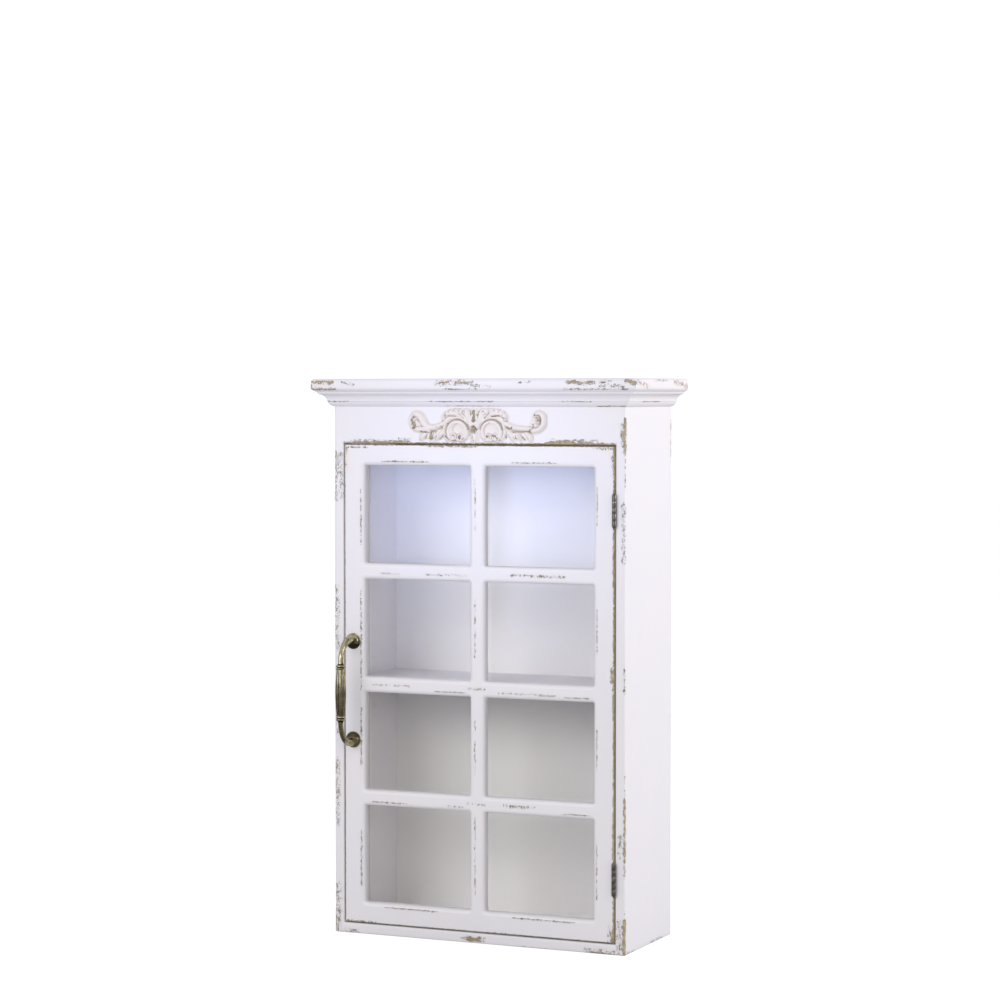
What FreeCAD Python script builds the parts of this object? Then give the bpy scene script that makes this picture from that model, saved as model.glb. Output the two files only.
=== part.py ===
import FreeCAD, Part
import os
from FreeCAD import Vector as V

# A wall cabinet with one glazed door, a moulded cornice and a carved ornament.
# Millimetres. X runs along the wall, Y points into the wall, Z is up.
# The origin is on the wall, midway between the two hanger holes.

os.makedirs("parts", exist_ok=True)

# Carcass
body_width = 406.0
body_depth = 160.0
board = 13.0
opening_height = 624.0
frieze_show = 47.0
frieze_thickness = 13.0
panel_thickness = 4.0
panel_lap = 6.0
rail_height = 50.0
rail_thickness = 15.0

# Shelf, housed in grooves
shelf_height = 319.0
shelf_thickness = 12.0
shelf_setback = 6.0
groove_depth = 4.0
groove_clearance = 0.15

# Cornice
cap_thickness = 17.0
cap_overhang = 23.0
cap_rounding = 6.0
crown_height = 19.0
crown_projection = 12.0
crown_foot_share = 0.46
crown_fillet_share = 0.53
crown_cove_share = 0.77
crown_foot_reach_share = 0.76
crown_ovolo_shares = (0.55, 0.45)
crown_cove_hollow_share = 0.3

# Door and its glazing
door_thickness = 18.0
edge_gap = 2.0
stile_width = 28.0
door_rail_height = 26.5
bar_width = 20.5
bar_count = 3
edge_rounding = 5.0
glass_setback = 11.6
glass_thickness = 3.0
glass_lap = 6.0
glass_play = 0.5
bead_width = 5.5
tenon_length = 16.0
tenon_shoulder = 5.0
tenon_thickness = 5.0
stub_length = 5.0
mortise_play = 0.1

# Butt hinges
hinge_length = 40.0
hinge_from_door_end = 80.0
knuckle_radius = 2.75
knuckle_count = 5
knuckle_play = 0.15
knuckle_stand_off = 0.25
pin_radius = 1.25
pin_play = 0.05
pin_head_radius = 2.2
pin_head_height = 1.4
pin_head_taper_share = 0.7
leaf_thickness = 0.9
leaf_width = 14.0
leaf_gap = 0.2

# Handle
handle_spacing = 128.0
handle_height = 301.5
handle_inset = 12.0
handle_reach = 36.0
rosette_radius = 10.4
rosette_foot = 1.8
rosette_rise = 3.2
rosette_neck_radius = 5.2
arm_radius = 3.35
collar_radius = 5.9
collar_height = 7.5
grip_length = 60.0
grip_end_radius = 4.75
grip_mid_radius = 7.0
collar_groove_shares = (0.4, 0.5, 0.6)

# Magnetic catch
catch_from_door_end = 60.0
catch_length = 40.0
catch_width = 12.0
catch_depth = 18.0
catch_gap = 0.4
magnet_length = 24.0
magnet_width = 5.0
magnet_depth = 8.0
strike_length = 32.0
strike_width = 14.0
strike_thickness = 1.0
strike_margin = 1.0

# Keyhole hangers
hanger_inset = 53.0
hanger_width = 22.0
hanger_height = 46.0
hanger_thickness = 2.0
hanger_play = 0.2
keyhole_radius = 4.5
keyhole_slot_radius = 2.5
keyhole_rise = 10.0
pocket_margin = 3.0
pocket_depth = 9.0

# Carved ornament
ornament_width = 194.0
ornament_height = 45.5
ornament_relief = 7.0
ornament_margin = 0.6
ornament_eye_share = 0.385

# Fasteners: flat heads follow the shank
screw_head_share = 1.9
screw_sink_share = 1.1
hinge_screw_radius = 1.1
hinge_screw_length = 10.0
hanger_screw_radius = 1.5
hanger_screw_length = 13.0
cap_screw_radius = 1.75
cap_screw_length = 25.0
catch_screw_radius = 1.25
catch_screw_bite = 6.0
strike_screw_radius = 1.25
strike_screw_length = 11.0
panel_nail_radius = 0.7
panel_nail_length = 15.0
panel_nail_bay_count = 3
panel_nail_row_count = 3
glazing_pin_radius = 0.5
glazing_pin_length = 9.0
glazing_pin_upright_count = 4
glazing_pin_level_count = 3
handle_screw_radius = 2.0
handle_screw_head_radius = 3.6
handle_screw_head_height = 2.4
handle_screw_bite = 8.0
handle_screw_dome_shares = (0.6, 0.4)
dowel_radius = 3.0
dowel_length = 20.0
dowel_in_side = 8.0
hole_play = 0.05

# Overrun of cutting shapes past the face that they open
overrun = 1.0

# Places that follow from the sizes
body_height = board + opening_height + frieze_show + crown_height
x_left = -body_width / 2
x_right = body_width / 2
x_in_left = x_left + board
x_in_right = x_right - board
y_front = -body_depth
y_panel = -panel_thickness
keyhole_height = body_height - board - rail_height / 2 - keyhole_rise / 2
z_bottom = -keyhole_height
z_floor = z_bottom + board
z_frieze = z_floor + opening_height
z_crown = z_frieze + frieze_show
z_cap = z_crown + crown_height
z_ceiling = z_cap - board
hinge_gap = 2 * leaf_thickness + leaf_gap
door_left = x_in_left + edge_gap
door_right = x_in_right - hinge_gap
door_low = z_floor + edge_gap
door_high = z_frieze - edge_gap
y_door_back = y_front + door_thickness
y_glass = y_front + glass_setback
y_bead = y_glass + glass_thickness
light_left = door_left + stile_width
light_right = door_right - stile_width
light_low = door_low + door_rail_height
light_high = door_high - door_rail_height
pane_height = (light_high - light_low - bar_count * bar_width) / (bar_count + 1)
pane_width = (light_right - light_left - bar_width) / 2
shelf_front = y_door_back + shelf_setback
shelf_top = z_bottom + shelf_height + shelf_thickness
axis_x = x_in_right - hinge_gap / 2
axis_y = y_front - knuckle_radius - knuckle_stand_off


def block(low, high):
    """A rectangular piece between two corners."""
    size = high - low
    return Part.makeBox(size.x, size.y, size.z, low)


def turned(outline, foot, direction):
    """A turned piece: its half outline, as (radius, distance along the axis), set on a foot point."""
    points = [V(radius, 0, along) for radius, along in outline]
    face = Part.Face(Part.makePolygon(points + points[:1]))
    shape = face.revolve(V(0, 0, 0), V(0, 0, 1), 360)
    shape.Placement = FreeCAD.Placement(foot, FreeCAD.Rotation(V(0, 0, 1), direction))
    return shape


def screw(shank, length, head, direction):
    """A flat-headed screw or nail whose head is level with a face."""
    wide = shank * screw_head_share
    outline = [(0, 0), (wide, 0), (shank, shank * screw_sink_share), (shank, length - wide), (0, length)]
    return turned(outline, head, direction)


def screw_hole(shank, length, head, direction):
    """The hole and countersink that takes the same screw."""
    wide = shank * screw_head_share + hole_play
    narrow = shank + hole_play
    sink = shank * screw_sink_share
    end = length + hole_play
    outline = [(0, -overrun), (wide, -overrun), (wide, 0), (narrow, sink), (narrow, end), (0, end)]
    return turned(outline, head, direction)


def screws_and_holes(shank, length, heads_and_ways):
    """The screws of one kind and the holes for them."""
    screws = [screw(shank, length, head, way) for head, way in heads_and_ways]
    holes = [screw_hole(shank, length, head, way) for head, way in heads_and_ways]
    return screws, holes


def rod(radius, start, end):
    """A round bar between two points."""
    return Part.makeCylinder(radius, (end - start).Length, start, end - start)


def save(name, *solids):
    """Writes one sub-part, a single solid or a group of alike ones."""
    shape = solids[0] if len(solids) == 1 else Part.makeCompound(list(solids))
    shape.exportStep("parts/" + name + ".step")


def spread(low, high, count):
    """Evenly spaced places with half a space at each end."""
    return [low + (high - low) * (2 * step + 1) / (2 * count) for step in range(count)]


# Screws, nails and dowels first, because the boards are drilled for them

def dowel_places():
    """Each dowel's end point inside a side board, and its direction into the joined board."""
    places = []
    depths = spread(y_front, y_panel, 2)
    joints = [(z_bottom + board / 2, y) for y in depths]
    joints += [(z_ceiling + board / 2, y) for y in depths]
    rail_y = y_panel - rail_thickness / 2
    joints += [(z, rail_y) for z in spread(z_ceiling - rail_height, z_ceiling, 2)]
    for z, y in joints:
        places.append((V(x_in_left - dowel_in_side, y, z), V(1, 0, 0)))
        places.append((V(x_in_right + dowel_in_side, y, z), V(-1, 0, 0)))
    return places


dowels = [rod(dowel_radius, end, end + way * dowel_length) for end, way in dowel_places()]
dowel_holes = [
    rod(dowel_radius + hole_play, end - way * hole_play, end + way * (dowel_length + hole_play))
    for end, way in dowel_places()
]


def nail_heads():
    """The panel nails, down both side boards beside each bay and along the bottom and top boards."""
    lap_left = x_in_left - panel_lap / 2
    lap_right = x_in_right + panel_lap / 2
    heights = spread(z_floor, shelf_top - shelf_thickness, panel_nail_bay_count)
    heights += spread(shelf_top, z_ceiling - rail_height, panel_nail_bay_count)
    heads = [V(x, 0, z) for x in (lap_left, lap_right) for z in heights]
    across = spread(x_in_left, x_in_right, panel_nail_row_count)
    heads += [V(x, 0, z) for x in across for z in (z_bottom + board / 2, z_ceiling + board / 2)]
    return [(head, V(0, -1, 0)) for head in heads]


nails, nail_holes = screws_and_holes(panel_nail_radius, panel_nail_length, nail_heads())

cap_screw_heads = [
    (V(x, y, z_ceiling), V(0, 0, 1))
    for x in spread(x_in_left, x_in_right, 2)
    for y in spread(y_front, y_panel, 2)
]
cap_screws, cap_screw_holes = screws_and_holes(cap_screw_radius, cap_screw_length, cap_screw_heads)

hanger_places = [x_left + hanger_inset, x_right - hanger_inset]
hanger_low = keyhole_rise / 2 - hanger_height / 2
hanger_high = hanger_low + hanger_height
pocket_low = -keyhole_radius - pocket_margin
pocket_high = keyhole_rise + keyhole_radius + pocket_margin
hanger_screw_heights = [(hanger_low + pocket_low) / 2, (hanger_high + pocket_high) / 2]
hanger_heads = [(V(x, 0, z), V(0, -1, 0)) for x in hanger_places for z in hanger_screw_heights]
hanger_screws, hanger_screw_holes = screws_and_holes(hanger_screw_radius, hanger_screw_length, hanger_heads)

hinge_middles = [door_high - hinge_from_door_end, door_low + hinge_from_door_end]
leaf_middle_y = y_front + leaf_width / 2


def hinge_screw_heads(x, way):
    """Two screws in each leaf whose face is at x."""
    return [
        (V(x, leaf_middle_y, z), way)
        for middle in hinge_middles
        for z in spread(middle - hinge_length / 2, middle + hinge_length / 2, 2)
    ]


frame_heads = hinge_screw_heads(x_in_right - leaf_thickness, V(1, 0, 0))
door_heads = hinge_screw_heads(door_right + leaf_thickness, V(-1, 0, 0))
hinge_frame_screws, hinge_frame_holes = screws_and_holes(hinge_screw_radius, hinge_screw_length, frame_heads)
hinge_door_screws, hinge_door_holes = screws_and_holes(hinge_screw_radius, hinge_screw_length, door_heads)

# The catch stands behind the free stile, on the left side board
catch_z = door_high - catch_from_door_end
catch_front = y_door_back + strike_thickness + catch_gap
catch_back = catch_front + catch_depth
catch_flange_x = x_in_left + catch_width
catch_screw_span = (magnet_length + catch_length) / 2
catch_heads = [
    (V(catch_flange_x, (catch_front + catch_back) / 2, z), V(-1, 0, 0))
    for z in (catch_z - catch_screw_span / 2, catch_z + catch_screw_span / 2)
]
catch_screw_length = catch_width + catch_screw_bite
catch_screws, catch_screw_holes = screws_and_holes(catch_screw_radius, catch_screw_length, catch_heads)
magnet_x = x_in_left + (catch_width - magnet_width) / 2
strike_left = door_left + strike_margin
strike_right = strike_left + strike_width
strike_screw_x = (magnet_x + magnet_width + strike_right) / 2
strike_heads = [(V(strike_screw_x, y_door_back + strike_thickness, catch_z), V(0, -1, 0))]
strike_screws, strike_screw_holes = screws_and_holes(strike_screw_radius, strike_screw_length, strike_heads)


def drilled(piece, *hole_groups):
    """The piece with all the holes of these groups in it."""
    return piece.cut([hole for group in hole_groups for hole in group])


# Carcass

def side_board(x_outer, x_inner):
    """A side with a rebate for the back panel and a groove for the shelf."""
    outward = 1 if x_outer > x_inner else -1
    low = V(min(x_outer, x_inner), y_front, z_bottom)
    high = V(max(x_outer, x_inner), 0, z_cap)
    side = block(low, high)
    lap = sorted([x_inner - outward * overrun, x_inner + outward * panel_lap])
    rebate = block(V(lap[0], y_panel, z_bottom - overrun), V(lap[1], overrun, z_cap + overrun))
    reach = sorted([x_inner - outward * overrun, x_inner + outward * groove_depth])
    groove = block(
        V(reach[0], shelf_front - groove_clearance, shelf_top - shelf_thickness - groove_clearance),
        V(reach[1], y_panel + overrun, shelf_top + groove_clearance),
    )
    return drilled(side.cut([rebate, groove]), dowel_holes, nail_holes)


side_left = side_board(x_left, x_in_left)
side_right = side_board(x_right, x_in_right)
save("side_left", drilled(side_left, catch_screw_holes))
save("side_right", drilled(side_right, hinge_frame_holes))

bottom_board = block(V(x_in_left, y_front, z_bottom), V(x_in_right, y_panel, z_floor))
save("bottom_board", drilled(bottom_board, dowel_holes, nail_holes))

top_board = block(V(x_in_left, y_front, z_ceiling), V(x_in_right, y_panel, z_cap))
save("top_board", drilled(top_board, dowel_holes, nail_holes, cap_screw_holes))

frieze_low = V(x_in_left, y_front, z_frieze)
frieze_high = V(x_in_right, y_front + frieze_thickness, z_ceiling)
save("frieze_board", block(frieze_low, frieze_high))

shelf_end = groove_depth - groove_clearance
shelf = block(
    V(x_in_left - shelf_end, shelf_front, shelf_top - shelf_thickness),
    V(x_in_right + shelf_end, y_panel, shelf_top),
)
save("shelf", shelf)


def hanger_pocket(x, depth):
    """Room behind a keyhole for the head of a wall screw."""
    half = keyhole_radius + pocket_margin
    return block(V(x - half, -depth, pocket_low), V(x + half, overrun, pocket_high))


rail_low = V(x_in_left, y_panel - rail_thickness, z_ceiling - rail_height)
hanging_rail = block(rail_low, V(x_in_right, y_panel, z_ceiling))
pockets = [hanger_pocket(x, panel_thickness + pocket_depth) for x in hanger_places]
save("hanging_rail", drilled(hanging_rail, pockets, dowel_holes, hanger_screw_holes))


def hanger_recess(x):
    """The shallow bed in the back panel that takes a hanger plate level with its face."""
    half = hanger_width / 2 + hanger_play
    low = V(x - half, -hanger_thickness, hanger_low - hanger_play)
    return block(low, V(x + half, overrun, hanger_high + hanger_play))


panel_low = V(x_in_left - panel_lap, y_panel, z_bottom)
back_panel = block(panel_low, V(x_in_right + panel_lap, 0, z_cap))
recesses = [hanger_recess(x) for x in hanger_places]
save("back_panel", drilled(back_panel, recesses, pockets, nail_holes, hanger_screw_holes))
save("back_panel_nails", *nails)
save("carcass_dowels", *dowels)


def hanger_plate(x):
    """A steel plate with a round entry and a slot above it for the wall screw."""
    low = V(x - hanger_width / 2, -hanger_thickness, hanger_low)
    plate = block(low, V(x + hanger_width / 2, 0, hanger_high))
    entry = rod(keyhole_radius, V(x, -hanger_thickness - overrun, 0), V(x, overrun, 0))
    slot_foot = V(x, -hanger_thickness - overrun, keyhole_rise)
    slot_end = rod(keyhole_slot_radius, slot_foot, V(x, overrun, keyhole_rise))
    slot_low = V(x - keyhole_slot_radius, -hanger_thickness - overrun, 0)
    slot = block(slot_low, V(x + keyhole_slot_radius, overrun, keyhole_rise))
    return drilled(plate, [entry, slot, slot_end], hanger_screw_holes)


for side_name, hanger_x in zip(("left", "right"), hanger_places):
    save("hanger_plate_" + side_name, hanger_plate(hanger_x))
save("hanger_screws", *hanger_screws)


# Cornice

def prism(points, rise):
    """A closed outline of straight edges, drawn out by a vector."""
    return Part.Face(Part.makePolygon(points + points[:1])).extrude(rise)


def arc(start, centre, radius, end):
    """A quarter arc from start to end that bulges away from its centre."""
    middle = (start + end) / 2 - centre
    middle.normalize()
    return Part.Arc(start, centre + middle * radius, end).toShape()


def line(start, end):
    """A straight edge."""
    return Part.LineSegment(start, end).toShape()


def rounded_section(place, low, high, round_low):
    """The cap's section: rounded at its high end, and at its low end too where asked."""
    r = cap_rounding
    top = z_cap + cap_thickness
    at = [place(high - r, z_cap), place(high, z_cap + r), place(high, top - r), place(high - r, top)]
    edges = [arc(at[0], place(high - r, z_cap + r), r, at[1]), line(at[1], at[2])]
    edges += [arc(at[2], place(high - r, top - r), r, at[3])]
    if round_low:
        back = [place(low + r, top), place(low, top - r), place(low, z_cap + r), place(low + r, z_cap)]
        edges += [line(at[3], back[0]), arc(back[0], place(low + r, top - r), r, back[1])]
        edges += [line(back[1], back[2]), arc(back[2], place(low + r, z_cap + r), r, back[3])]
    else:
        back = [place(low, top), place(low, z_cap)]
        edges += [line(at[3], back[0]), line(back[0], back[1])]
    edges.append(line(back[-1], at[0]))
    return Part.Face(Part.Wire(edges))


def cap_board():
    """A board with rounded front and side edges, square against the wall."""
    cap_left = x_left - cap_overhang
    cap_right = x_right + cap_overhang
    depth = body_depth + cap_overhang
    across = rounded_section(lambda x, z: V(x, 0, z), cap_left, cap_right, True)
    along = rounded_section(lambda reach, z: V(cap_left, -reach, z), 0, depth, False)
    width = cap_right - cap_left
    return across.extrude(V(0, -depth, 0)).common(along.extrude(V(width, 0, 0)))


save("cap_board", drilled(cap_board(), cap_screw_holes))
save("cap_screws", *cap_screws)


def crown_section(place):
    """Ovolo foot, a small fillet, a cove and a flat top band."""
    foot = crown_height * crown_foot_share
    fillet = crown_height * crown_fillet_share
    cove = crown_height * crown_cove_share
    reach = crown_projection * crown_foot_reach_share
    out_share, up_share = crown_ovolo_shares
    ovolo_mid = place(reach * out_share, foot * up_share)
    hollow = (crown_projection - reach) * crown_cove_hollow_share
    cove_mid = place(reach + hollow, (fillet + cove) / 2)
    edges = [Part.Arc(place(0, 0), ovolo_mid, place(reach, foot)).toShape()]
    edges += [line(place(reach, foot), place(reach, fillet))]
    edges += [Part.Arc(place(reach, fillet), cove_mid, place(crown_projection, cove)).toShape()]
    edges += [line(place(crown_projection, cove), place(crown_projection, crown_height))]
    edges += [line(place(crown_projection, crown_height), place(0, crown_height))]
    edges += [line(place(0, crown_height), place(0, 0))]
    return Part.Face(Part.Wire(edges))


def crown_front():
    """The front moulding, mitred at both ends."""
    start = x_left - crown_projection
    run = V(body_width + 2 * crown_projection, 0, 0)
    strip = crown_section(lambda out, up: V(start, y_front - out, z_crown + up)).extrude(run)
    out = crown_projection + overrun
    corners = [V(x_left, y_front, z_crown), V(x_left - out, y_front - out, z_crown)]
    corners += [V(x_right + out, y_front - out, z_crown), V(x_right, y_front, z_crown)]
    return strip.common(prism(corners, V(0, 0, crown_height)))


def crown_side(x, outward):
    """A side moulding, mitred at the front and square against the wall."""
    run = V(0, body_depth + crown_projection, 0)
    front = y_front - crown_projection
    strip = crown_section(lambda out, up: V(x + outward * out, front, z_crown + up)).extrude(run)
    out = crown_projection + overrun
    corners = [V(x, y_front, z_crown), V(x + outward * out, y_front - out, z_crown)]
    corners += [V(x + outward * out, 0, z_crown), V(x, 0, z_crown)]
    return strip.common(prism(corners, V(0, 0, crown_height)))


save("cornice_front", crown_front())
save("cornice_left", crown_side(x_left, -1))
save("cornice_right", crown_side(x_right, 1))


# Door

pane_columns = [light_left, light_right - pane_width]
pane_rows = [light_low + row * (pane_height + bar_width) for row in range(bar_count + 1)]


def flare(place, low, high, rise):
    """A slot through the door whose two front edges are rounded over, drawn out by a vector."""
    r = edge_rounding
    before = y_front - overrun
    behind = y_door_back + overrun
    mouth = y_front + r
    edges = [line(place(low, behind), place(high, behind)), line(place(high, behind), place(high, mouth))]
    edges += [arc(place(high, mouth), place(high + r, mouth), r, place(high + r, y_front))]
    edges += [line(place(high + r, y_front), place(high + r, before))]
    edges += [line(place(high + r, before), place(low - r, before))]
    edges += [line(place(low - r, before), place(low - r, y_front))]
    edges += [arc(place(low - r, y_front), place(low - r, mouth), r, place(low, mouth))]
    edges += [line(place(low, mouth), place(low, behind))]
    return Part.Face(Part.Wire(edges)).extrude(rise)


def pane_opening(x, z):
    """The opening of one pane, rounded over on its four front edges."""
    margin = edge_rounding + overrun
    foot = z - margin
    left = x - margin
    upright = flare(lambda u, y: V(u, y, foot), x, x + pane_width, V(0, 0, pane_height + 2 * margin))
    level = flare(lambda u, y: V(left, y, u), z, z + pane_height, V(pane_width + 2 * margin, 0, 0))
    return upright.common(level)


pane_openings = [pane_opening(x, z) for x in pane_columns for z in pane_rows]
rebate_low = V(light_left - glass_lap, y_glass, light_low - glass_lap)
rebate_high = V(light_right + glass_lap, y_door_back + overrun, light_high + glass_lap)
glass_rebate = block(rebate_low, rebate_high)

tenon_y = y_front + (glass_setback - tenon_thickness) / 2 + edge_rounding / 2


def rail_tenon(z_outer, z_inner, x, way):
    """A rail's tenon, clear of the glass rebate, from the stile's inner edge outwards."""
    low_z = min(z_outer, z_inner)
    high_z = max(z_outer, z_inner)
    ends = sorted([x, x + way * tenon_length])
    return block(V(ends[0], tenon_y, low_z), V(ends[1], tenon_y + tenon_thickness, high_z))


def stub_tenon(x, z, way):
    """A glazing bar's short tenon; way points into the stile or rail."""
    half = bar_width / 2 - edge_rounding
    depth = V(0, tenon_thickness, 0)
    across = V(0, 0, half) if way.x else V(half, 0, 0)
    start = V(x, tenon_y, z)
    ends = [start - across, start + across + depth + way * stub_length]
    lows = V(min(ends[0].x, ends[1].x), tenon_y, min(ends[0].z, ends[1].z))
    highs = V(max(ends[0].x, ends[1].x), ends[1].y, max(ends[0].z, ends[1].z))
    return block(lows, highs)


def grown(tenon):
    """The mortise for a tenon: the same block with play on every side."""
    box = tenon.BoundBox
    play = V(mortise_play, mortise_play, mortise_play)
    return block(V(box.XMin, box.YMin, box.ZMin) - play, V(box.XMax, box.YMax, box.ZMax) + play)


bar_middles = [z - bar_width / 2 for z in pane_rows[1:]]
bar_x = (light_left + light_right) / 2
top_tenon = (door_high - tenon_shoulder, light_high + glass_lap)
low_tenon = (door_low + tenon_shoulder, light_low - glass_lap)
top_tenons = [rail_tenon(*top_tenon, light_left, -1), rail_tenon(*top_tenon, light_right, 1)]
low_tenons = [rail_tenon(*low_tenon, light_left, -1), rail_tenon(*low_tenon, light_right, 1)]
upright_stubs = [stub_tenon(bar_x, light_high, V(0, 0, 1)), stub_tenon(bar_x, light_low, V(0, 0, -1))]
level_stubs = {
    z: [stub_tenon(light_left, z, V(-1, 0, 0)), stub_tenon(light_right, z, V(1, 0, 0))]
    for z in bar_middles
}
stile_mortises = [grown(t) for t in top_tenons + low_tenons + sum(level_stubs.values(), [])]
rail_mortises = [grown(t) for t in upright_stubs]

# Handle screws run from inside the door into the handle's feet
handle_x = door_left + handle_inset
handle_z = door_low + handle_height
handle_feet = [handle_z + handle_spacing / 2, handle_z - handle_spacing / 2]
rosette_front = y_front - rosette_foot - rosette_rise
handle_screw_tip = rosette_front - handle_screw_bite


def handle_screw(z, play):
    """A round-headed screw through the stile and the rosette."""
    shank = handle_screw_radius + play
    head = handle_screw_head_radius
    length = y_door_back - handle_screw_tip + play
    rise = handle_screw_head_height
    top_share, side_share = handle_screw_dome_shares
    outline = [(0, -rise), (head * top_share, -rise), (head, -rise * side_share), (head, 0)]
    outline += [(shank, 0), (shank, length), (0, length)]
    return turned(outline, V(handle_x, y_door_back, z), V(0, -1, 0))


handle_screws = [handle_screw(z, 0) for z in handle_feet]
handle_screw_holes = [handle_screw(z, hole_play) for z in handle_feet]


def pin_heads():
    """Where the glazing pins enter the beads, and which way they run."""
    middle_y = (y_bead + y_door_back) / 2
    inner = bead_width - glass_lap
    heads = []
    for z in spread(light_low, light_high, glazing_pin_upright_count):
        heads.append((V(light_left + inner, middle_y, z), V(-1, 0, 0)))
        heads.append((V(light_right - inner, middle_y, z), V(1, 0, 0)))
    for x in spread(light_left, light_right, glazing_pin_level_count):
        heads.append((V(x, middle_y, light_low + inner), V(0, 0, -1)))
        heads.append((V(x, middle_y, light_high - inner), V(0, 0, 1)))
    return heads


glazing_pins, glazing_pin_holes = screws_and_holes(glazing_pin_radius, glazing_pin_length, pin_heads())


def stile(x_low, x_high, *holes):
    """An upright of the door, mortised for the rails and the glazing bars."""
    upright = block(V(x_low, y_front, door_low), V(x_high, y_door_back, door_high))
    return drilled(upright, [glass_rebate], pane_openings, stile_mortises, glazing_pin_holes, *holes)


def door_rail(z_low, z_high, tenons):
    """A cross-piece of the door with a tenon at each end."""
    rail = block(V(light_left, y_front, z_low), V(light_right, y_door_back, z_high))
    return drilled(rail, [glass_rebate], pane_openings, rail_mortises, glazing_pin_holes).fuse(tenons)


lap_y = y_front + glass_setback / 2


def level_bar(z):
    """A level glazing bar, halved at the back where it crosses the upright one."""
    low = z - bar_width / 2
    high = z + bar_width / 2
    bar = block(V(light_left, y_front, low), V(light_right, y_glass, high))
    crossing_low = V(bar_x - bar_width / 2, lap_y, low - overrun)
    crossing = block(crossing_low, V(bar_x + bar_width / 2, y_glass + overrun, high + overrun))
    return drilled(bar.cut(crossing), pane_openings).fuse(level_stubs[z])


def upright_bar():
    """The upright glazing bar, halved at the front at each crossing."""
    left = bar_x - bar_width / 2
    right = bar_x + bar_width / 2
    bar = block(V(left, y_front, light_low), V(right, y_glass, light_high))
    crossings = [
        block(
            V(left - overrun, y_front - overrun, z - bar_width / 2),
            V(right + overrun, lap_y, z + bar_width / 2),
        )
        for z in bar_middles
    ]
    return drilled(bar.cut(crossings), pane_openings).fuse(upright_stubs)


save("door_stile_left", stile(door_left, light_left, handle_screw_holes, strike_screw_holes))
save("door_stile_right", stile(light_right, door_right, hinge_door_holes))
save("door_rail_top", door_rail(light_high, door_high, top_tenons))
save("door_rail_bottom", door_rail(door_low, light_low, low_tenons))
save("muntin_vertical", upright_bar())
for bar_name, bar_z in zip(("lower", "middle", "upper"), bar_middles):
    save("muntin_" + bar_name, level_bar(bar_z))

glass_edge = glass_lap - glass_play
glass_low = V(light_left - glass_edge, y_glass, light_low - glass_edge)
glass_high = V(light_right + glass_edge, y_bead, light_high + glass_edge)
save("door_glass", block(glass_low, glass_high))


def glazing_bead(x_low, x_high, z_low, z_high):
    """A square strip that holds the glass in its rebate, level with the back of the door."""
    return drilled(block(V(x_low, y_bead, z_low), V(x_high, y_door_back, z_high)), glazing_pin_holes)


bed_left = light_left - glass_lap
bed_right = light_right + glass_lap
bed_low = light_low - glass_lap
bed_high = light_high + glass_lap
save("glazing_bead_left", glazing_bead(bed_left, bed_left + bead_width, bed_low, bed_high))
save("glazing_bead_right", glazing_bead(bed_right - bead_width, bed_right, bed_low, bed_high))
bead_span = (bed_left + bead_width, bed_right - bead_width)
save("glazing_bead_bottom", glazing_bead(*bead_span, bed_low, bed_low + bead_width))
save("glazing_bead_top", glazing_bead(*bead_span, bed_high - bead_width, bed_high))
save("glazing_pins", *glazing_pins)


# Hinges

knuckle_pitch = hinge_length / knuckle_count


def hinge_leaf(middle, face_x, first, holes):
    """A leaf in the gap beside the door, with every second knuckle from the first one."""
    low = middle - hinge_length / 2
    near = axis_x + (leaf_gap / 2 if face_x > axis_x else -leaf_gap / 2)
    ends = sorted([near, face_x])
    leaf = block(V(ends[0], y_front, low), V(ends[1], y_front + leaf_width, low + hinge_length))
    bore = pin_radius + pin_play
    knuckles = []
    for step in range(first, knuckle_count, 2):
        foot = low + step * knuckle_pitch + knuckle_play / 2
        head = foot + knuckle_pitch - knuckle_play
        knuckles.append(rod(knuckle_radius, V(axis_x, axis_y, foot), V(axis_x, axis_y, head)))
        knuckles.append(block(V(ends[0], axis_y, foot), V(ends[1], y_front, head)))
    joined = leaf.fuse(knuckles)
    eye = rod(bore, V(axis_x, axis_y, low - overrun), V(axis_x, axis_y, low + hinge_length + overrun))
    return drilled(joined, [eye], holes).removeSplitter()


def hinge_pin(middle):
    """A pin with a button at each end, over the outer knuckles."""
    half = hinge_length / 2
    top = half + pin_head_height
    tip = pin_head_radius * pin_head_taper_share
    outline = [(0, -top), (tip, -top), (pin_head_radius, -half), (pin_radius, -half)]
    outline += [(pin_radius, half), (pin_head_radius, half), (tip, top), (0, top)]
    return turned(outline, V(axis_x, axis_y, middle), V(0, 0, 1))


for place, middle in zip(("upper", "lower"), hinge_middles):
    save("hinge_" + place + "_frame_leaf", hinge_leaf(middle, x_in_right, 0, hinge_frame_holes))
    save("hinge_" + place + "_door_leaf", hinge_leaf(middle, door_right, 1, hinge_door_holes))
    save("hinge_" + place + "_pin", hinge_pin(middle))
save("hinge_frame_screws", *hinge_frame_screws)
save("hinge_door_screws", *hinge_door_screws)


# Handle

def rosette(z):
    """A stepped round plate under a foot of the handle."""
    rim = rosette_radius
    neck = rosette_neck_radius
    step = (rim + neck) / 2
    top = rosette_foot + rosette_rise
    outline = [(0, 0), (rim, 0), (rim, rosette_foot / 2), (step, rosette_foot)]
    outline += [(step, rosette_foot + rosette_rise / 3), (neck, top), (0, top)]
    plate = turned(outline, V(handle_x, y_front, z), V(0, -1, 0))
    return drilled(plate, handle_screw_holes)


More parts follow.
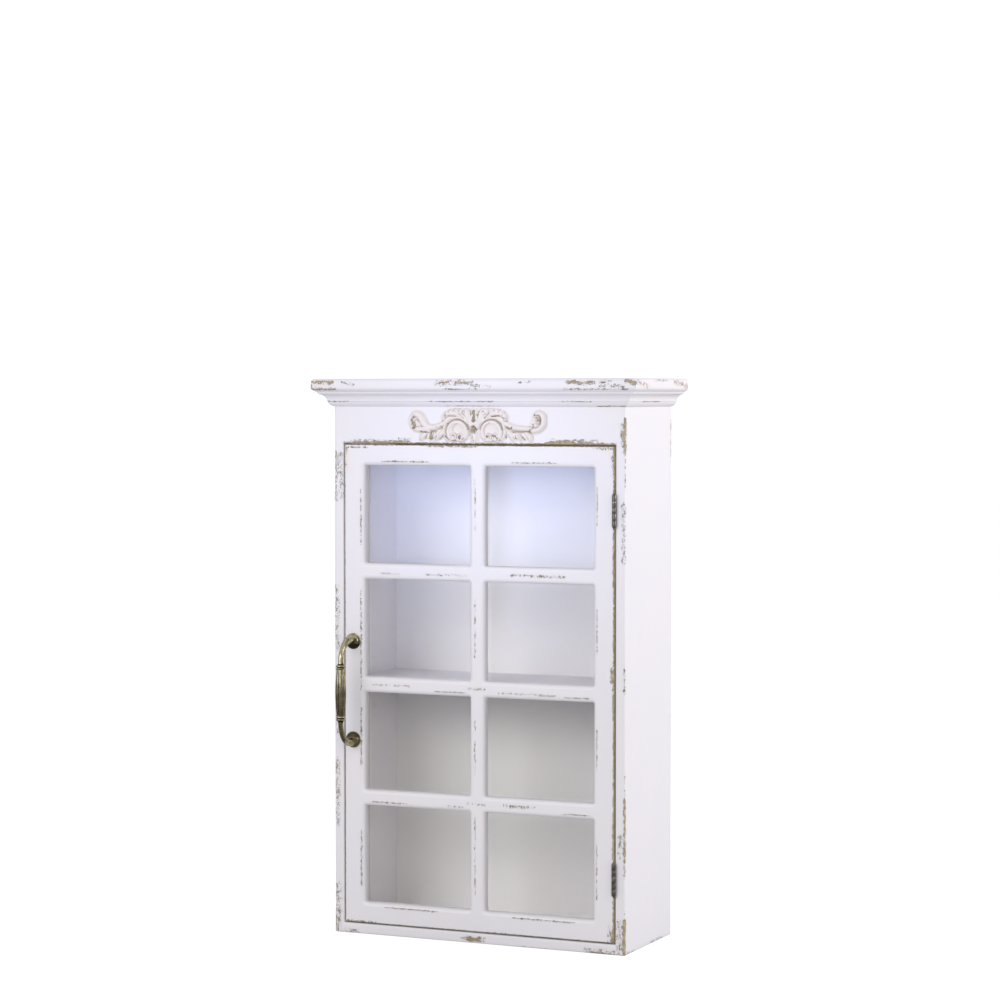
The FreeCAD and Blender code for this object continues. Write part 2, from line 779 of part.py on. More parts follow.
def grip():
    """The swelling grip between two ringed collars."""
    half = grip_length / 2
    end = half + collar_height
    bow = Part.Arc(V(grip_end_radius, 0, -half), V(grip_mid_radius, 0, 0), V(grip_end_radius, 0, half))
    groove = [half + collar_height * share for share in collar_groove_shares]
    waist = (collar_radius + arm_radius) / 2
    upper = [(grip_end_radius, half), (collar_radius, half), (collar_radius, groove[0])]
    upper += [(waist, groove[1]), (collar_radius, groove[2]), (collar_radius, end), (0, end)]
    lower = [(radius, -along) for radius, along in reversed(upper)]
    points = [[V(radius, 0, along) for radius, along in chain] for chain in (upper, lower)]
    edges = [bow.toShape()]
    edges += [line(a, b) for chain in points for a, b in zip(chain, chain[1:])]
    edges.append(line(points[0][-1], points[1][0]))
    barrel = Part.Face(Part.Wire(Part.__sortEdges__(edges))).revolve(V(0, 0, 0), V(0, 0, 1), 360)
    barrel.translate(V(handle_x, y_front - handle_reach, handle_z))
    return barrel


def arm(z, way):
    """A round arm from the rosette that bends a quarter turn into the grip."""
    bend = handle_spacing / 2 - grip_length / 2 - collar_height
    foot = V(handle_x, rosette_front, z)
    elbow = V(handle_x, y_front - handle_reach + bend, z)
    centre = V(handle_x, elbow.y, z - way * bend)
    landing = V(handle_x, y_front - handle_reach, centre.z)
    path = Part.Wire([line(foot, elbow), arc(elbow, centre, bend, landing)])
    ring = Part.Wire(Part.Circle(foot, V(0, -1, 0), arm_radius).toShape())
    return path.makePipeShell([ring], True, False)


handle_bow = grip().fuse([arm(handle_feet[0], 1), arm(handle_feet[1], -1)])
save("handle_bow", drilled(handle_bow, handle_screw_holes))
save("handle_rosette_upper", rosette(handle_feet[0]))
save("handle_rosette_lower", rosette(handle_feet[1]))
save("handle_screws", *handle_screws)


# Magnetic catch

housing_low = V(x_in_left, catch_front, catch_z - catch_length / 2)
housing = block(housing_low, V(catch_flange_x, catch_back, catch_z + catch_length / 2))
magnet_low = V(magnet_x, catch_front, catch_z - magnet_length / 2)
magnet_high = V(magnet_x + magnet_width, catch_front + magnet_depth, catch_z + magnet_length / 2)
magnet = block(magnet_low, magnet_high)
save("catch_housing", drilled(housing, [magnet], catch_screw_holes))
save("catch_magnet", magnet)
save("catch_screws", *catch_screws)

strike_low = V(strike_left, y_door_back, catch_z - strike_length / 2)
strike_high = V(strike_right, y_door_back + strike_thickness, catch_z + strike_length / 2)
save("strike_plate", drilled(block(strike_low, strike_high), strike_screw_holes))
save("strike_screw", *strike_screws)


# Carved ornament, as flat-topped relief; every place is a share of its half width and its height

petal_shares = [
    ((0.012, 0.07), (0.035, 0.60), 0.075, 0.85),
    ((0.045, 0.14), (0.185, 0.56), 0.11, 0.75),
    ((0.11, 0.30), (0.47, 0.32), 0.15, 0.8),
    ((0.38, -0.08), (0.62, -0.27), 0.07, 0.5),
    ((0.60, 0.03), (0.71, -0.33), 0.06, 0.5),
    ((0.69, 0.02), (0.80, -0.33), 0.07, 0.5),
]
stem_shares = ((0, -0.04), (0, -0.372), 0.05, 0.65)
scroll_shares = [
    ((0.247, -0.02), 0.335, 0.25, 0.85),
    ((0.18, -0.20), 0.125, 0.06, 0.8),
    ((0.31, -0.19), 0.115, 0.055, 0.8),
    ((0.876, 0.20), 0.262, 0.10, 0.85),
]
dish_shares = ((0.247, -0.02), 0.30, 0.3)
button_shares = ((0, 0), 0.075, 1.0)
arm_shares = ((0.39, 0.25), (0.58, 0.06), (0.86, 0.0), 0.155, 0.75)
ornament_eye_z = z_frieze + ornament_margin + ornament_height * ornament_eye_share


def carved(face, relief_share):
    """A flat form on the frieze, raised towards the front."""
    return face.extrude(V(0, -ornament_relief * relief_share, 0))


def ornament_point(shares, hand):
    """A place on the frieze from shares of the half width and the height."""
    x = hand * shares[0] * ornament_width / 2
    return V(x, y_front, ornament_eye_z + shares[1] * ornament_height)


def petal(start, end, bulge_share, relief_share, hand):
    """A leaf between two points, as wide on both sides of its rib."""
    foot = ornament_point(start, hand)
    tip = ornament_point(end, hand)
    aside = (tip - foot).cross(V(0, 1, 0))
    aside.normalize()
    aside = aside * ornament_height * bulge_share
    middle = (foot + tip) / 2
    edges = [Part.Arc(foot, middle + aside, tip).toShape(), Part.Arc(tip, middle - aside, foot).toShape()]
    return carved(Part.Face(Part.Wire(edges)), relief_share)


def disc(centre, radius_share, hand):
    """A round face on the frieze."""
    ring = Part.Circle(ornament_point(centre, hand), V(0, 1, 0), ornament_height * radius_share)
    return Part.Face(Part.Wire(ring.toShape()))


def scroll(centre, outer_share, inner_share, relief_share, hand):
    """A round band, the plain form of a curled scroll."""
    band = disc(centre, outer_share, hand).cut(disc(centre, inner_share, hand))
    return carved(band, relief_share)


def arm_band(start, middle, end, width_share, relief_share, hand):
    """The arched arm that joins the centre to the end scroll."""
    first, crest, last = [ornament_point(place, hand) for place in (start, middle, end)]
    bow = Part.Arc(first, crest, last).toShape().Curve
    hub = bow.Center
    half = ornament_height * width_share / 2
    near = 1 - half / bow.Radius
    far = 1 + half / bow.Radius
    inner = [hub + (place - hub) * near for place in (first, crest, last)]
    outer = [hub + (place - hub) * far for place in (first, crest, last)]
    low_arc = Part.Arc(*inner).toShape()
    high_arc = Part.Arc(*reversed(outer)).toShape()
    edges = [low_arc, line(inner[-1], outer[-1]), high_arc, line(outer[0], inner[0])]
    return carved(Part.Face(Part.Wire(edges)), relief_share)


def ornament():
    """Crown and stem on the middle line, and the same scrolls and leaves on both hands."""
    centre, radius_share, relief_share = button_shares
    forms = [carved(disc(centre, radius_share, 1), relief_share), petal(*stem_shares, 1)]
    dish_centre, dish_radius_share, dish_relief_share = dish_shares
    for hand in (-1, 1):
        forms += [petal(*shares, hand) for shares in petal_shares]
        forms += [scroll(*shares, hand) for shares in scroll_shares]
        forms.append(carved(disc(dish_centre, dish_radius_share, hand), dish_relief_share))
        forms.append(arm_band(*arm_shares, hand))
    return forms[0].fuse(forms[1:]).removeSplitter()


save("ornament", ornament())
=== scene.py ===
import math

import bpy
import numpy as np
from mathutils import Matrix, Vector


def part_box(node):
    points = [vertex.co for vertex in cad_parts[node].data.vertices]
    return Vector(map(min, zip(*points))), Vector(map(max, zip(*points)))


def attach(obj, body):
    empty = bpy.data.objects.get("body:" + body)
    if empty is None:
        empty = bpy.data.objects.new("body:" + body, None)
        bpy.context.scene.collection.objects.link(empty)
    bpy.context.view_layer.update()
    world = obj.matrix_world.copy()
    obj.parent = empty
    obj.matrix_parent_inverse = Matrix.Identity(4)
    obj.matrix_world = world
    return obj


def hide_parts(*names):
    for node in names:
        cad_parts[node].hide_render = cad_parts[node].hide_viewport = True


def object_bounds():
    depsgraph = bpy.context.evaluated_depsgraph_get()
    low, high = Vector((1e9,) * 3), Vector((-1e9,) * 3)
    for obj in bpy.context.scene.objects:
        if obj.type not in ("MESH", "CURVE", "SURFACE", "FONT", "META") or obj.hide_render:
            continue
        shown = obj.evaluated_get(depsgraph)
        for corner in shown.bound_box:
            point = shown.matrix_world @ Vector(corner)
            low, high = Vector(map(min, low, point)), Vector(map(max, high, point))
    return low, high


# A wall cabinet in white paint with rubbed edges, around its frame of solids.
# Metres, but places and sizes of the finish are written in millimetres and scaled by mm.
# X runs along the wall, Y points into the wall, Z is up.

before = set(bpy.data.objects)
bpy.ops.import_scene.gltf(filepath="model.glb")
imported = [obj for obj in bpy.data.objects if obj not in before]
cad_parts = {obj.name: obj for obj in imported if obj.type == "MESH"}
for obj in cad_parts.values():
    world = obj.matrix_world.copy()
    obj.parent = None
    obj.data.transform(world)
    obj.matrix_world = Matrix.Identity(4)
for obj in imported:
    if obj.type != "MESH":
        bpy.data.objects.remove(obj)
cad_low, cad_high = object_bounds()
mm = 0.001
touching = 0.01 * mm

# Sizes of the finish that the solids leave out
board_arris = 1.6
bead_arris = 0.8
door_arris = 1.3
mesh_step = 4
finest_step = 1.8
pane_step = 8
pane_corner = 2.2
pane_rounding = 5
ridge_margin = 1
glass_gap = 0.12
reveal_shade_and_dirt = 0.36
bead_painted_shade = 0.5
side_rub = 0.1
level_rub = 0.08
merge_gap = 0.001


# Modelling by hand

def clear_selection():
    """Nothing stays selected, so that the next operator acts on its own piece alone."""
    if bpy.context.object and bpy.context.object.mode != "OBJECT":
        bpy.ops.object.mode_set(mode="OBJECT")
    bpy.ops.object.select_all(action="DESELECT")


def take(*pieces):
    """Selects just these pieces and makes the first the active one."""
    clear_selection()
    for piece in pieces:
        piece.select_set(True)
    bpy.context.view_layer.objects.active = pieces[0]
    return pieces[0]


def named(name):
    """Names the piece that was just added and puts its place into its mesh."""
    piece = bpy.context.object
    piece.name = name
    piece.data.name = name
    bpy.ops.object.transform_apply(location=True, rotation=True, scale=True)
    return piece


def placed(name, data):
    """A new object in the scene around a mesh, a lamp or a camera."""
    new_object = bpy.data.objects.new(name, data)
    bpy.context.scene.collection.objects.link(new_object)
    return new_object


def leave(piece):
    """Back to object mode."""
    if piece.mode != "OBJECT":
        bpy.ops.object.mode_set(mode="OBJECT")


def pick(piece, kind, test):
    """Goes to edit mode with only those vertices, edges or faces selected that pass a test."""
    take(piece)
    mesh = piece.data
    for parts in (mesh.vertices, mesh.edges, mesh.polygons):
        parts.foreach_set("select", [False] * len(parts))
    parts = {"VERT": mesh.vertices, "EDGE": mesh.edges, "FACE": mesh.polygons}[kind]
    parts.foreach_set("select", [test(part) for part in parts])
    bpy.context.tool_settings.mesh_select_mode = [kind == each for each in ("VERT", "EDGE", "FACE")]
    bpy.ops.object.mode_set(mode="EDIT")


def pick_all(piece):
    """Goes to edit mode with the whole piece selected."""
    pick(piece, "VERT", lambda vertex: True)
    bpy.ops.mesh.select_all(action="SELECT")


def edit(piece, kind, test, operator, **settings):
    """Runs an operator on those vertices, edges or faces of a piece that pass a test."""
    pick(piece, kind, test)
    operator(**settings)
    leave(piece)


def edit_all(piece, operator, **settings):
    """Runs an operator on the whole piece."""
    pick_all(piece)
    operator(**settings)
    leave(piece)


def ends(piece, edge):
    """The two end points of an edge."""
    return [piece.data.vertices[index].co for index in edge.vertices]


def length_along(piece, edge, axis):
    """The length of an edge that runs along an axis, and zero for any other edge."""
    a, b = ends(piece, edge)
    way = b - a
    return way.length if abs(way[axis]) > 0.999 * way.length else 0


def midpoint(piece, edge):
    """The middle of an edge."""
    a, b = ends(piece, edge)
    return (a + b) / 2


def middle_of(node, axis):
    """The middle of a node's box along an axis, in millimetres."""
    low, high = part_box(node)
    return (low[axis] + high[axis]) / 2 / mm


def near(a, b):
    """True for two places closer than a hundredth of a millimetre."""
    return abs(a - b) < touching


def divide(piece, axis, step=mesh_step, inside=lambda place: True, cuts=0):
    """Cuts the edges that run along an axis into steps, so that the finish can vary along them."""
    groups = {}
    for edge in piece.data.edges:
        count = int(length_along(piece, edge, axis) / (step * mm))
        if count and inside(midpoint(piece, edge)):
            groups.setdefault(cuts or count, set()).add(edge.key)
    for count in sorted(groups):
        group = groups[count]
        edit(piece, "EDGE", lambda edge: edge.key in group, bpy.ops.mesh.subdivide, number_cuts=count)


def divide_all(piece, step=mesh_step):
    """Cuts all level and upright edges into steps."""
    for axis in range(3):
        divide(piece, axis, step)


def sharp_edges(piece, angle=40):
    """The edges where two faces meet at an angle."""
    edit(piece, "EDGE", lambda edge: False, bpy.ops.mesh.edges_select_sharp, sharpness=math.radians(angle))
    return [edge for edge in piece.data.edges if edge.select]


def round_off(piece, edges, width, segments=3):
    """Rounds edges off to a width."""
    chosen = {edge.index for edge in edges}
    settings = {"offset": width * mm, "segments": segments, "profile": 0.5, "affect": "EDGES"}
    edit(piece, "EDGE", lambda edge: edge.index in chosen, bpy.ops.mesh.bevel, **settings)


def smooth(piece, angle=35):
    """Shades round stretches smooth and keeps the sharp edges."""
    take(piece)
    bpy.ops.object.shade_smooth_by_angle(angle=math.radians(angle))
    return piece


def block(name, low, high):
    """A plain block between two corners, the start of a board."""
    clear_selection()
    bpy.ops.mesh.primitive_cube_add(size=1, location=(low + high) / 2, scale=high - low)
    return named(name)


def board(name, low, high, arris=board_arris, step=mesh_step):
    """A sawn board with rubbed edges."""
    piece = block(name, low, high)
    round_off(piece, piece.data.edges, arris)
    divide_all(piece, step)
    return smooth(piece)


def outline(name, points):
    """A flat face with these corners, made from a circle with as many."""
    clear_selection()
    bpy.ops.mesh.primitive_circle_add(vertices=len(points), fill_type="NGON")
    piece = named(name)
    for vertex, point in zip(piece.data.vertices, points):
        vertex.co = point
    return piece


def face_outwards(piece):
    """Turns every face of a closed piece outwards."""
    edit_all(piece, bpy.ops.mesh.normals_make_consistent, inside=False)


def draw_out(piece, way):
    """Extrudes a flat face into a closed solid."""
    edit_all(piece, bpy.ops.mesh.extrude_region_move, TRANSFORM_OT_translate={"value": way})
    face_outwards(piece)


def score(piece, place, normal):
    """Cuts a line round a piece along a plane and keeps both sides."""
    edit_all(piece, bpy.ops.mesh.bisect, plane_co=place, plane_no=normal)


def saw(piece, place, normal):
    """Saws a piece along a plane and closes the cut; what lies on the normal's side goes."""
    cut = {"plane_co": place, "plane_no": normal, "use_fill": True, "clear_outer": True}
    edit_all(piece, bpy.ops.mesh.bisect, **cut)


def bar(name, places, sides):
    """A round bar along points of (x, y, z, radius) in millimetres: a turned form or a cast arm."""
    clear_selection()
    bpy.ops.curve.primitive_bezier_curve_add()
    path = bpy.context.object
    path.data.splines.clear()
    spline = path.data.splines.new("POLY")
    spline.points.add(len(places) - 1)
    for point, (x, y, z, radius) in zip(spline.points, places):
        point.co = (x * mm, y * mm, z * mm, 1)
        point.radius = radius
    path.data.dimensions = "3D"
    path.data.bevel_depth = mm
    path.data.bevel_resolution = sides // 2 - 2
    path.data.use_fill_caps = True
    bpy.ops.object.convert(target="MESH")
    piece = named(name)
    edit_all(piece, bpy.ops.mesh.remove_doubles, threshold=merge_gap * mm)
    face_outwards(piece)
    return piece


def unite(name, pieces):
    """Joins pieces of one casting into one mesh."""
    take(*pieces)
    bpy.ops.object.join()
    return named(name)


def apply_modifier(piece, name, kind, **settings):
    """Adds a modifier and applies it."""
    take(piece)
    modifier = piece.modifiers.new(name, kind)
    for key, value in settings.items():
        setattr(modifier, key, value)
    bpy.ops.object.modifier_apply(modifier=name)


def finish(piece, body, slot, material, *nodes):
    """Gives a piece its material and its place in the assembly."""
    piece.data.materials.clear()
    piece.data.materials.append(material)
    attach(piece, body)
    if nodes:
        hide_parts(*nodes)
    return piece


# Ageing and painted shade: bare wood, pink primer, dirt and painted shade are painted on stroke by stroke

bare, primed, shade_and_soil = 0, 1, 2
straight_face = 0.97


def read(parts, name, width):
    """One property of all vertices or edges as an array."""
    values = np.empty(len(parts) * width, dtype=np.int32 if name == "vertices" else np.float32)
    parts.foreach_get(name, values)
    return values.reshape(-1, width)


def hollows(piece, rounds):
    """How far each point lies below its surroundings, in millimetres."""
    places = read(piece.data.vertices, "co", 3).astype(np.float64)
    pairs = read(piece.data.edges, "vertices", 2)
    count = len(places)
    partners = np.bincount(pairs.ravel(), minlength=count)[:, None]
    spread = places.copy()
    for _ in range(rounds):
        total = np.zeros_like(spread)
        for axis in range(3):
            total[:, axis] += np.bincount(pairs[:, 0], spread[pairs[:, 1], axis], count)
            total[:, axis] += np.bincount(pairs[:, 1], spread[pairs[:, 0], axis], count)
        spread = total / partners
    normals = read(piece.data.vertices, "normal", 3)
    return ((spread - places) * normals).sum(axis=1) / mm


def gap_to(places, start, end):
    """How far each point lies from a straight stroke."""
    start = np.array(start, dtype=float)
    way = np.array(end) - start
    share = np.clip((places - start) @ way / max(way @ way, 1), 0, 1)
    return np.linalg.norm(places - start - share[:, None] * way, axis=1)


def refine(piece, strokes, rounds=3):
    """Halves the long edges under the strokes, so that a fine stroke stays fine."""
    for _ in range(rounds):
        places = read(piece.data.vertices, "co", 3) / mm
        pairs = read(piece.data.edges, "vertices", 2)
        lengths = np.linalg.norm(places[pairs[:, 0]] - places[pairs[:, 1]], axis=1)
        middles = (places[pairs[:, 0]] + places[pairs[:, 1]]) / 2
        wanted = np.zeros(len(pairs), dtype=bool)
        for layer, start, end, radius, strength in strokes:
            wanted |= gap_to(middles, start, end) < radius + lengths / 2
        wanted &= lengths > finest_step
        if wanted.any():
            edit(piece, "EDGE", lambda edge: wanted[edge.index], bpy.ops.mesh.subdivide, number_cuts=1)


def age_and_shade(piece, strokes, rub=0.0, shade_and_dirt=None, flat=False):
    """Paints strokes of (layer, start, end, radius, strength) on a piece's points.

    A flat piece is a relief, painted as it is seen from its front. Rub bares all rounded edges a little. The
    third layer holds dirt together with painted shade.
    """
    if not flat:
        refine(piece, strokes)
    places = read(piece.data.vertices, "co", 3) / mm
    if flat:
        places[:, 1] = 0
    layers = np.zeros((len(places), 4), dtype=np.float32)
    layers[:, 3] = 1
    for layer, start, end, radius, strength in strokes:
        mark = strength * np.clip(1 - gap_to(places, start, end) / radius, 0, 1)
        layers[:, layer] = np.maximum(layers[:, layer], mark)
    if rub:
        straight = np.abs(read(piece.data.vertices, "normal", 3)).max(axis=1)
        layers[:, bare] = np.maximum(layers[:, bare], rub * (straight < straight_face))
    if shade_and_dirt is not None:
        soil = shade_and_dirt(places) if callable(shade_and_dirt) else shade_and_dirt
        layers[:, shade_and_soil] = np.maximum(layers[:, shade_and_soil], soil)
    attribute = piece.data.color_attributes.new("age_and_shade", "FLOAT_COLOR", "POINT")
    attribute.data.foreach_set("color", layers.ravel())
    return piece


def chipped(start, end, half):
    """Paint gone down to the wood, to about this half width."""
    return bare, start, end, 2 * half, 1.15


def stripped_with_painted_light(start, end, half):
    """An edge that was never painted; where it is seen in the shaded gaps round the door its bare wood is
    painted pale, as painted light.
    """
    return bare, start, end, half, 3


def speckled(start, end, half):
    """Paint rubbed through in grains."""
    return bare, start, end, 1.5 * half, 0.46


def scratched(start, end, half):
    """A fine broken line."""
    return bare, start, end, 1.8 * half, 0.66


def blushed(start, end, half):
    """Primer that shines through the paint."""
    return primed, start, end, 2 * half, 0.9


def down(x, y, top, foot):
    """Both ends of an upright stroke."""
    return (x, y, top), (x, y, foot)


def across(left, right, y, z):
    """Both ends of a level stroke along the wall."""
    return (left, y, z), (right, y, z)


def upright(x, *rows):
    """Strokes down the front beside x: rows of (kind, shift from x, top, foot, half width)."""
    return [kind(*down(x + shift, front, top, foot), half) for kind, shift, top, foot, half in rows]


def level(y, z, *rows):
    """Strokes along the wall at y beside z: rows of (kind, left, right, shift from z, half width)."""
    return [kind(*across(left, right, y, z + shift), half) for kind, left, right, shift, half in rows]


# Materials

def new_finish(name):
    """A material with its tree and its shader."""
    material = bpy.data.materials.new(name)
    material.use_nodes = True
    return material, material.node_tree, material.node_tree.nodes["Principled BSDF"]


def wire(tree, socket, value):
    """Sets a socket to a value, or links it to another node's output."""
    if isinstance(value, bpy.types.NodeSocket):
        tree.links.new(value, socket)
    else:
        socket.default_value = value


def grain(tree, scale, detail=4, rough=0.6, stretch=(1, 1, 1)):
    """Noise on the piece's own coordinates, stretched where a brush or a saw drew it out."""
    place = tree.nodes.new("ShaderNodeTexCoord").outputs["Object"]
    mapping = tree.nodes.new("ShaderNodeMapping")
    mapping.inputs["Scale"].default_value = stretch
    texture = tree.nodes.new("ShaderNodeTexNoise")
    texture.inputs["Scale"].default_value = scale
    texture.inputs["Detail"].default_value = detail
    texture.inputs["Roughness"].default_value = rough
    tree.links.new(place, mapping.inputs["Vector"])
    tree.links.new(mapping.outputs["Vector"], texture.inputs["Vector"])
    return texture.outputs[0]


def reckon(tree, operation, a, b, c=0.0):
    """Arithmetic on two or three values."""
    sum_node = tree.nodes.new("ShaderNodeMath")
    sum_node.operation = operation
    for socket, value in zip(sum_node.inputs, (a, b, c)):
        wire(tree, socket, value)
    return sum_node.outputs[0]


def ramp(tree, value, low, high, start=0.0, end=1.0):
    """A soft step from start to end as a value goes from low to high."""
    step = tree.nodes.new("ShaderNodeMapRange")
    step.interpolation_type = "SMOOTHSTEP"
    for socket, given in zip(step.inputs, (value, low, high, start, end)):
        wire(tree, socket, given)
    return step.outputs[0]


def shade(tree, share, first, second):
    """A colour between two colours."""
    mix = tree.nodes.new("ShaderNodeMix")
    mix.data_type = "RGBA"
    wire(tree, mix.inputs[0], share)
    for socket, colour in ((mix.inputs[6], first), (mix.inputs[7], second)):
        wire(tree, socket, colour if isinstance(colour, bpy.types.NodeSocket) else (*colour, 1))
    return mix.outputs[2]


def relief(tree, shader, height, depth, strength=1.0):
    """Raises the surface by a height between 0 and 1."""
    bump = tree.nodes.new("ShaderNodeBump")
    bump.inputs["Strength"].default_value = strength
    bump.inputs["Distance"].default_value = depth * mm
    tree.links.new(height, bump.inputs["Height"])
    tree.links.new(bump.outputs["Normal"], shader.inputs["Normal"])


def layers_of(tree):
    """The three painted layers of a piece: bare wood, primer, and dirt together with painted shade."""
    attribute = tree.nodes.new("ShaderNodeAttribute")
    attribute.attribute_name = "age_and_shade"
    split = tree.nodes.new("ShaderNodeSeparateColor")
    tree.links.new(attribute.outputs["Color"], split.inputs["Color"])
    return split.outputs


khaki_wood = (0.48, 0.41, 0.26)
brown_wood = (0.36, 0.285, 0.175)
dark_speck = (0.25, 0.225, 0.16)
pale_edge_painted_light = (0.74, 0.65, 0.45)
pink_primer = (0.90, 0.80, 0.76)
shade_and_dirt_colour = (0.40, 0.33, 0.24)


def worn_paint(name, drawn, tint, cloud):
    """Brushed white paint over pink primer over bare wood, broken where the piece was rubbed; browned by
    dirt and painted shade, and pale as painted light on stripped edges.
    """
    material, tree, shader = new_finish(name)
    rubbed, primer, shade_and_dirt = layers_of(tree)
    ragged = grain(tree, 150, 3)
    flecks = grain(tree, 420, 3, 0.6, tuple(max(share, 0.45) for share in drawn))
    fine = grain(tree, 950, 3)
    streaks = grain(tree, 300, 3, 0.6, drawn)
    clouds = grain(tree, 14, 3)
    grit = reckon(tree, "MULTIPLY_ADD", ragged, 1.5, -2.9)
    grit = reckon(tree, "MULTIPLY_ADD", flecks, 1.7, grit)
    grit = reckon(tree, "MULTIPLY_ADD", fine, 2.6, grit)
    worn = reckon(tree, "MULTIPLY_ADD", grit, ramp(tree, rubbed, 0.02, 0.2), rubbed)
    wood = ramp(tree, worn, 0.50, 0.57)
    halo = ramp(tree, worn, 0.34, 0.52, 0.0, 0.35)
    pink = ramp(tree, reckon(tree, "MULTIPLY_ADD", ragged, 0.8, primer), 0.5, 1.4, 0.0, 0.7)
    pink = reckon(tree, "MULTIPLY", pink, ramp(tree, primer, 0.02, 0.7))
    coat = shade(tree, ramp(tree, clouds, 0.35, 0.65), tint, cloud)
    coat = shade(tree, ramp(tree, streaks, 0.55, 0.8, 0.0, 0.14), coat, pink_primer)
    # The coat browns where the third layer asks: dirt, and painted shade in the carving's hollows, the pane
    # reveals and the glazing beads.
    coat = shade(tree, ramp(tree, shade_and_dirt, 0.1, 1.0, 0.0, 0.9), coat, shade_and_dirt_colour)
    coat = shade(tree, reckon(tree, "MAXIMUM", halo, pink), coat, pink_primer)
    timber = shade(tree, ramp(tree, grain(tree, 160, 3), 0.42, 0.6), khaki_wood, brown_wood)
    timber = shade(tree, ramp(tree, fine, 0.56, 0.68, 0.0, 0.7), timber, dark_speck)
    timber = shade(tree, ramp(tree, rubbed, 0.45, 0.85), dark_speck, timber)
    # Stripped edges turn pale: painted light on bare faces seen in the shaded gaps round the door.
    timber = shade(tree, ramp(tree, rubbed, 1.2, 1.7), timber, pale_edge_painted_light)
    tree.links.new(shade(tree, wood, coat, timber), shader.inputs["Base Color"])
    dull = reckon(tree, "MULTIPLY_ADD", streaks, 0.15, ramp(tree, wood, 0, 1, 0.36, 0.7))
    tree.links.new(dull, shader.inputs["Roughness"])
    height = reckon(tree, "MULTIPLY_ADD", streaks, 0.2, reckon(tree, "MULTIPLY", wood, -0.8))
    relief(tree, shader, height, 0.3)
    return material


def old_brass(name):
    """Rubbed brass with brown patina in its hollows and in patches, darkened further by painted shade where
    the third layer asks.
    """
    material, tree, shader = new_finish(name)
    shade_and_dirt = layers_of(tree)[2]
    patches = grain(tree, 130, 3)
    fine = grain(tree, 1500, 3)
    patina_and_shade = ramp(tree, patches, 0.45, 0.8, 0.0, 0.2)
    # The third layer adds patina in the hollows and painted shade on the lower grip and the rosettes' inner
    # halves.
    patina_and_shade = reckon(tree, "MAXIMUM", ramp(tree, shade_and_dirt, 0.0, 0.6, 0.0, 0.97), patina_and_shade)
    bright = shade(tree, ramp(tree, patches, 0.3, 0.6), (0.70, 0.64, 0.44), (0.49, 0.43, 0.255))
    tree.links.new(shade(tree, patina_and_shade, bright, (0.045, 0.034, 0.022)), shader.inputs["Base Color"])
    tree.links.new(ramp(tree, patina_and_shade, 0.0, 1.0, 0.2, 0.5), shader.inputs["Roughness"])
    shader.inputs["Metallic"].default_value = 1
    relief(tree, shader, fine, 0.015)
    return material


def metal(name, light, dark, roughness, scale):
    """A plain metal with a mottled surface."""
    material, tree, shader = new_finish(name)
    mottle = grain(tree, scale, 5)
    tree.links.new(shade(tree, ramp(tree, mottle, 0.35, 0.65), light, dark), shader.inputs["Base Color"])
    tree.links.new(ramp(tree, mottle, 0.3, 0.7, roughness, roughness + 0.2), shader.inputs["Roughness"])
    shader.inputs["Metallic"].default_value = 1
    relief(tree, shader, mottle, 0.06)
    return material


def moulded_plastic(name, colour, shadow):
    """Moulded plastic with a fine spark-eroded texture."""
    material, tree, shader = new_finish(name)
    texture = grain(tree, 2200, 2)
    tree.links.new(shade(tree, texture, colour, shadow), shader.inputs["Base Color"])
    shader.inputs["Roughness"].default_value = 0.45
    relief(tree, shader, texture, 0.04)
    return material


def sawn_wood(name):
    """Planed softwood, its grain along X."""
    material, tree, shader = new_finish(name)
    rings = grain(tree, 120, 4, 0.6, (0.06, 1, 1))
    pores = grain(tree, 900, 3, 0.6, (0.04, 1, 1))
    colour = shade(tree, ramp(tree, rings, 0.35, 0.65), (0.62, 0.44, 0.25), (0.42, 0.27, 0.13))
    colour = shade(tree, ramp(tree, pores, 0.55, 0.75, 0, 0.5), colour, brown_wood)
    tree.links.new(colour, shader.inputs["Base Color"])
    shader.inputs["Roughness"].default_value = 0.65
    relief(tree, shader, pores, 0.12)
    return material


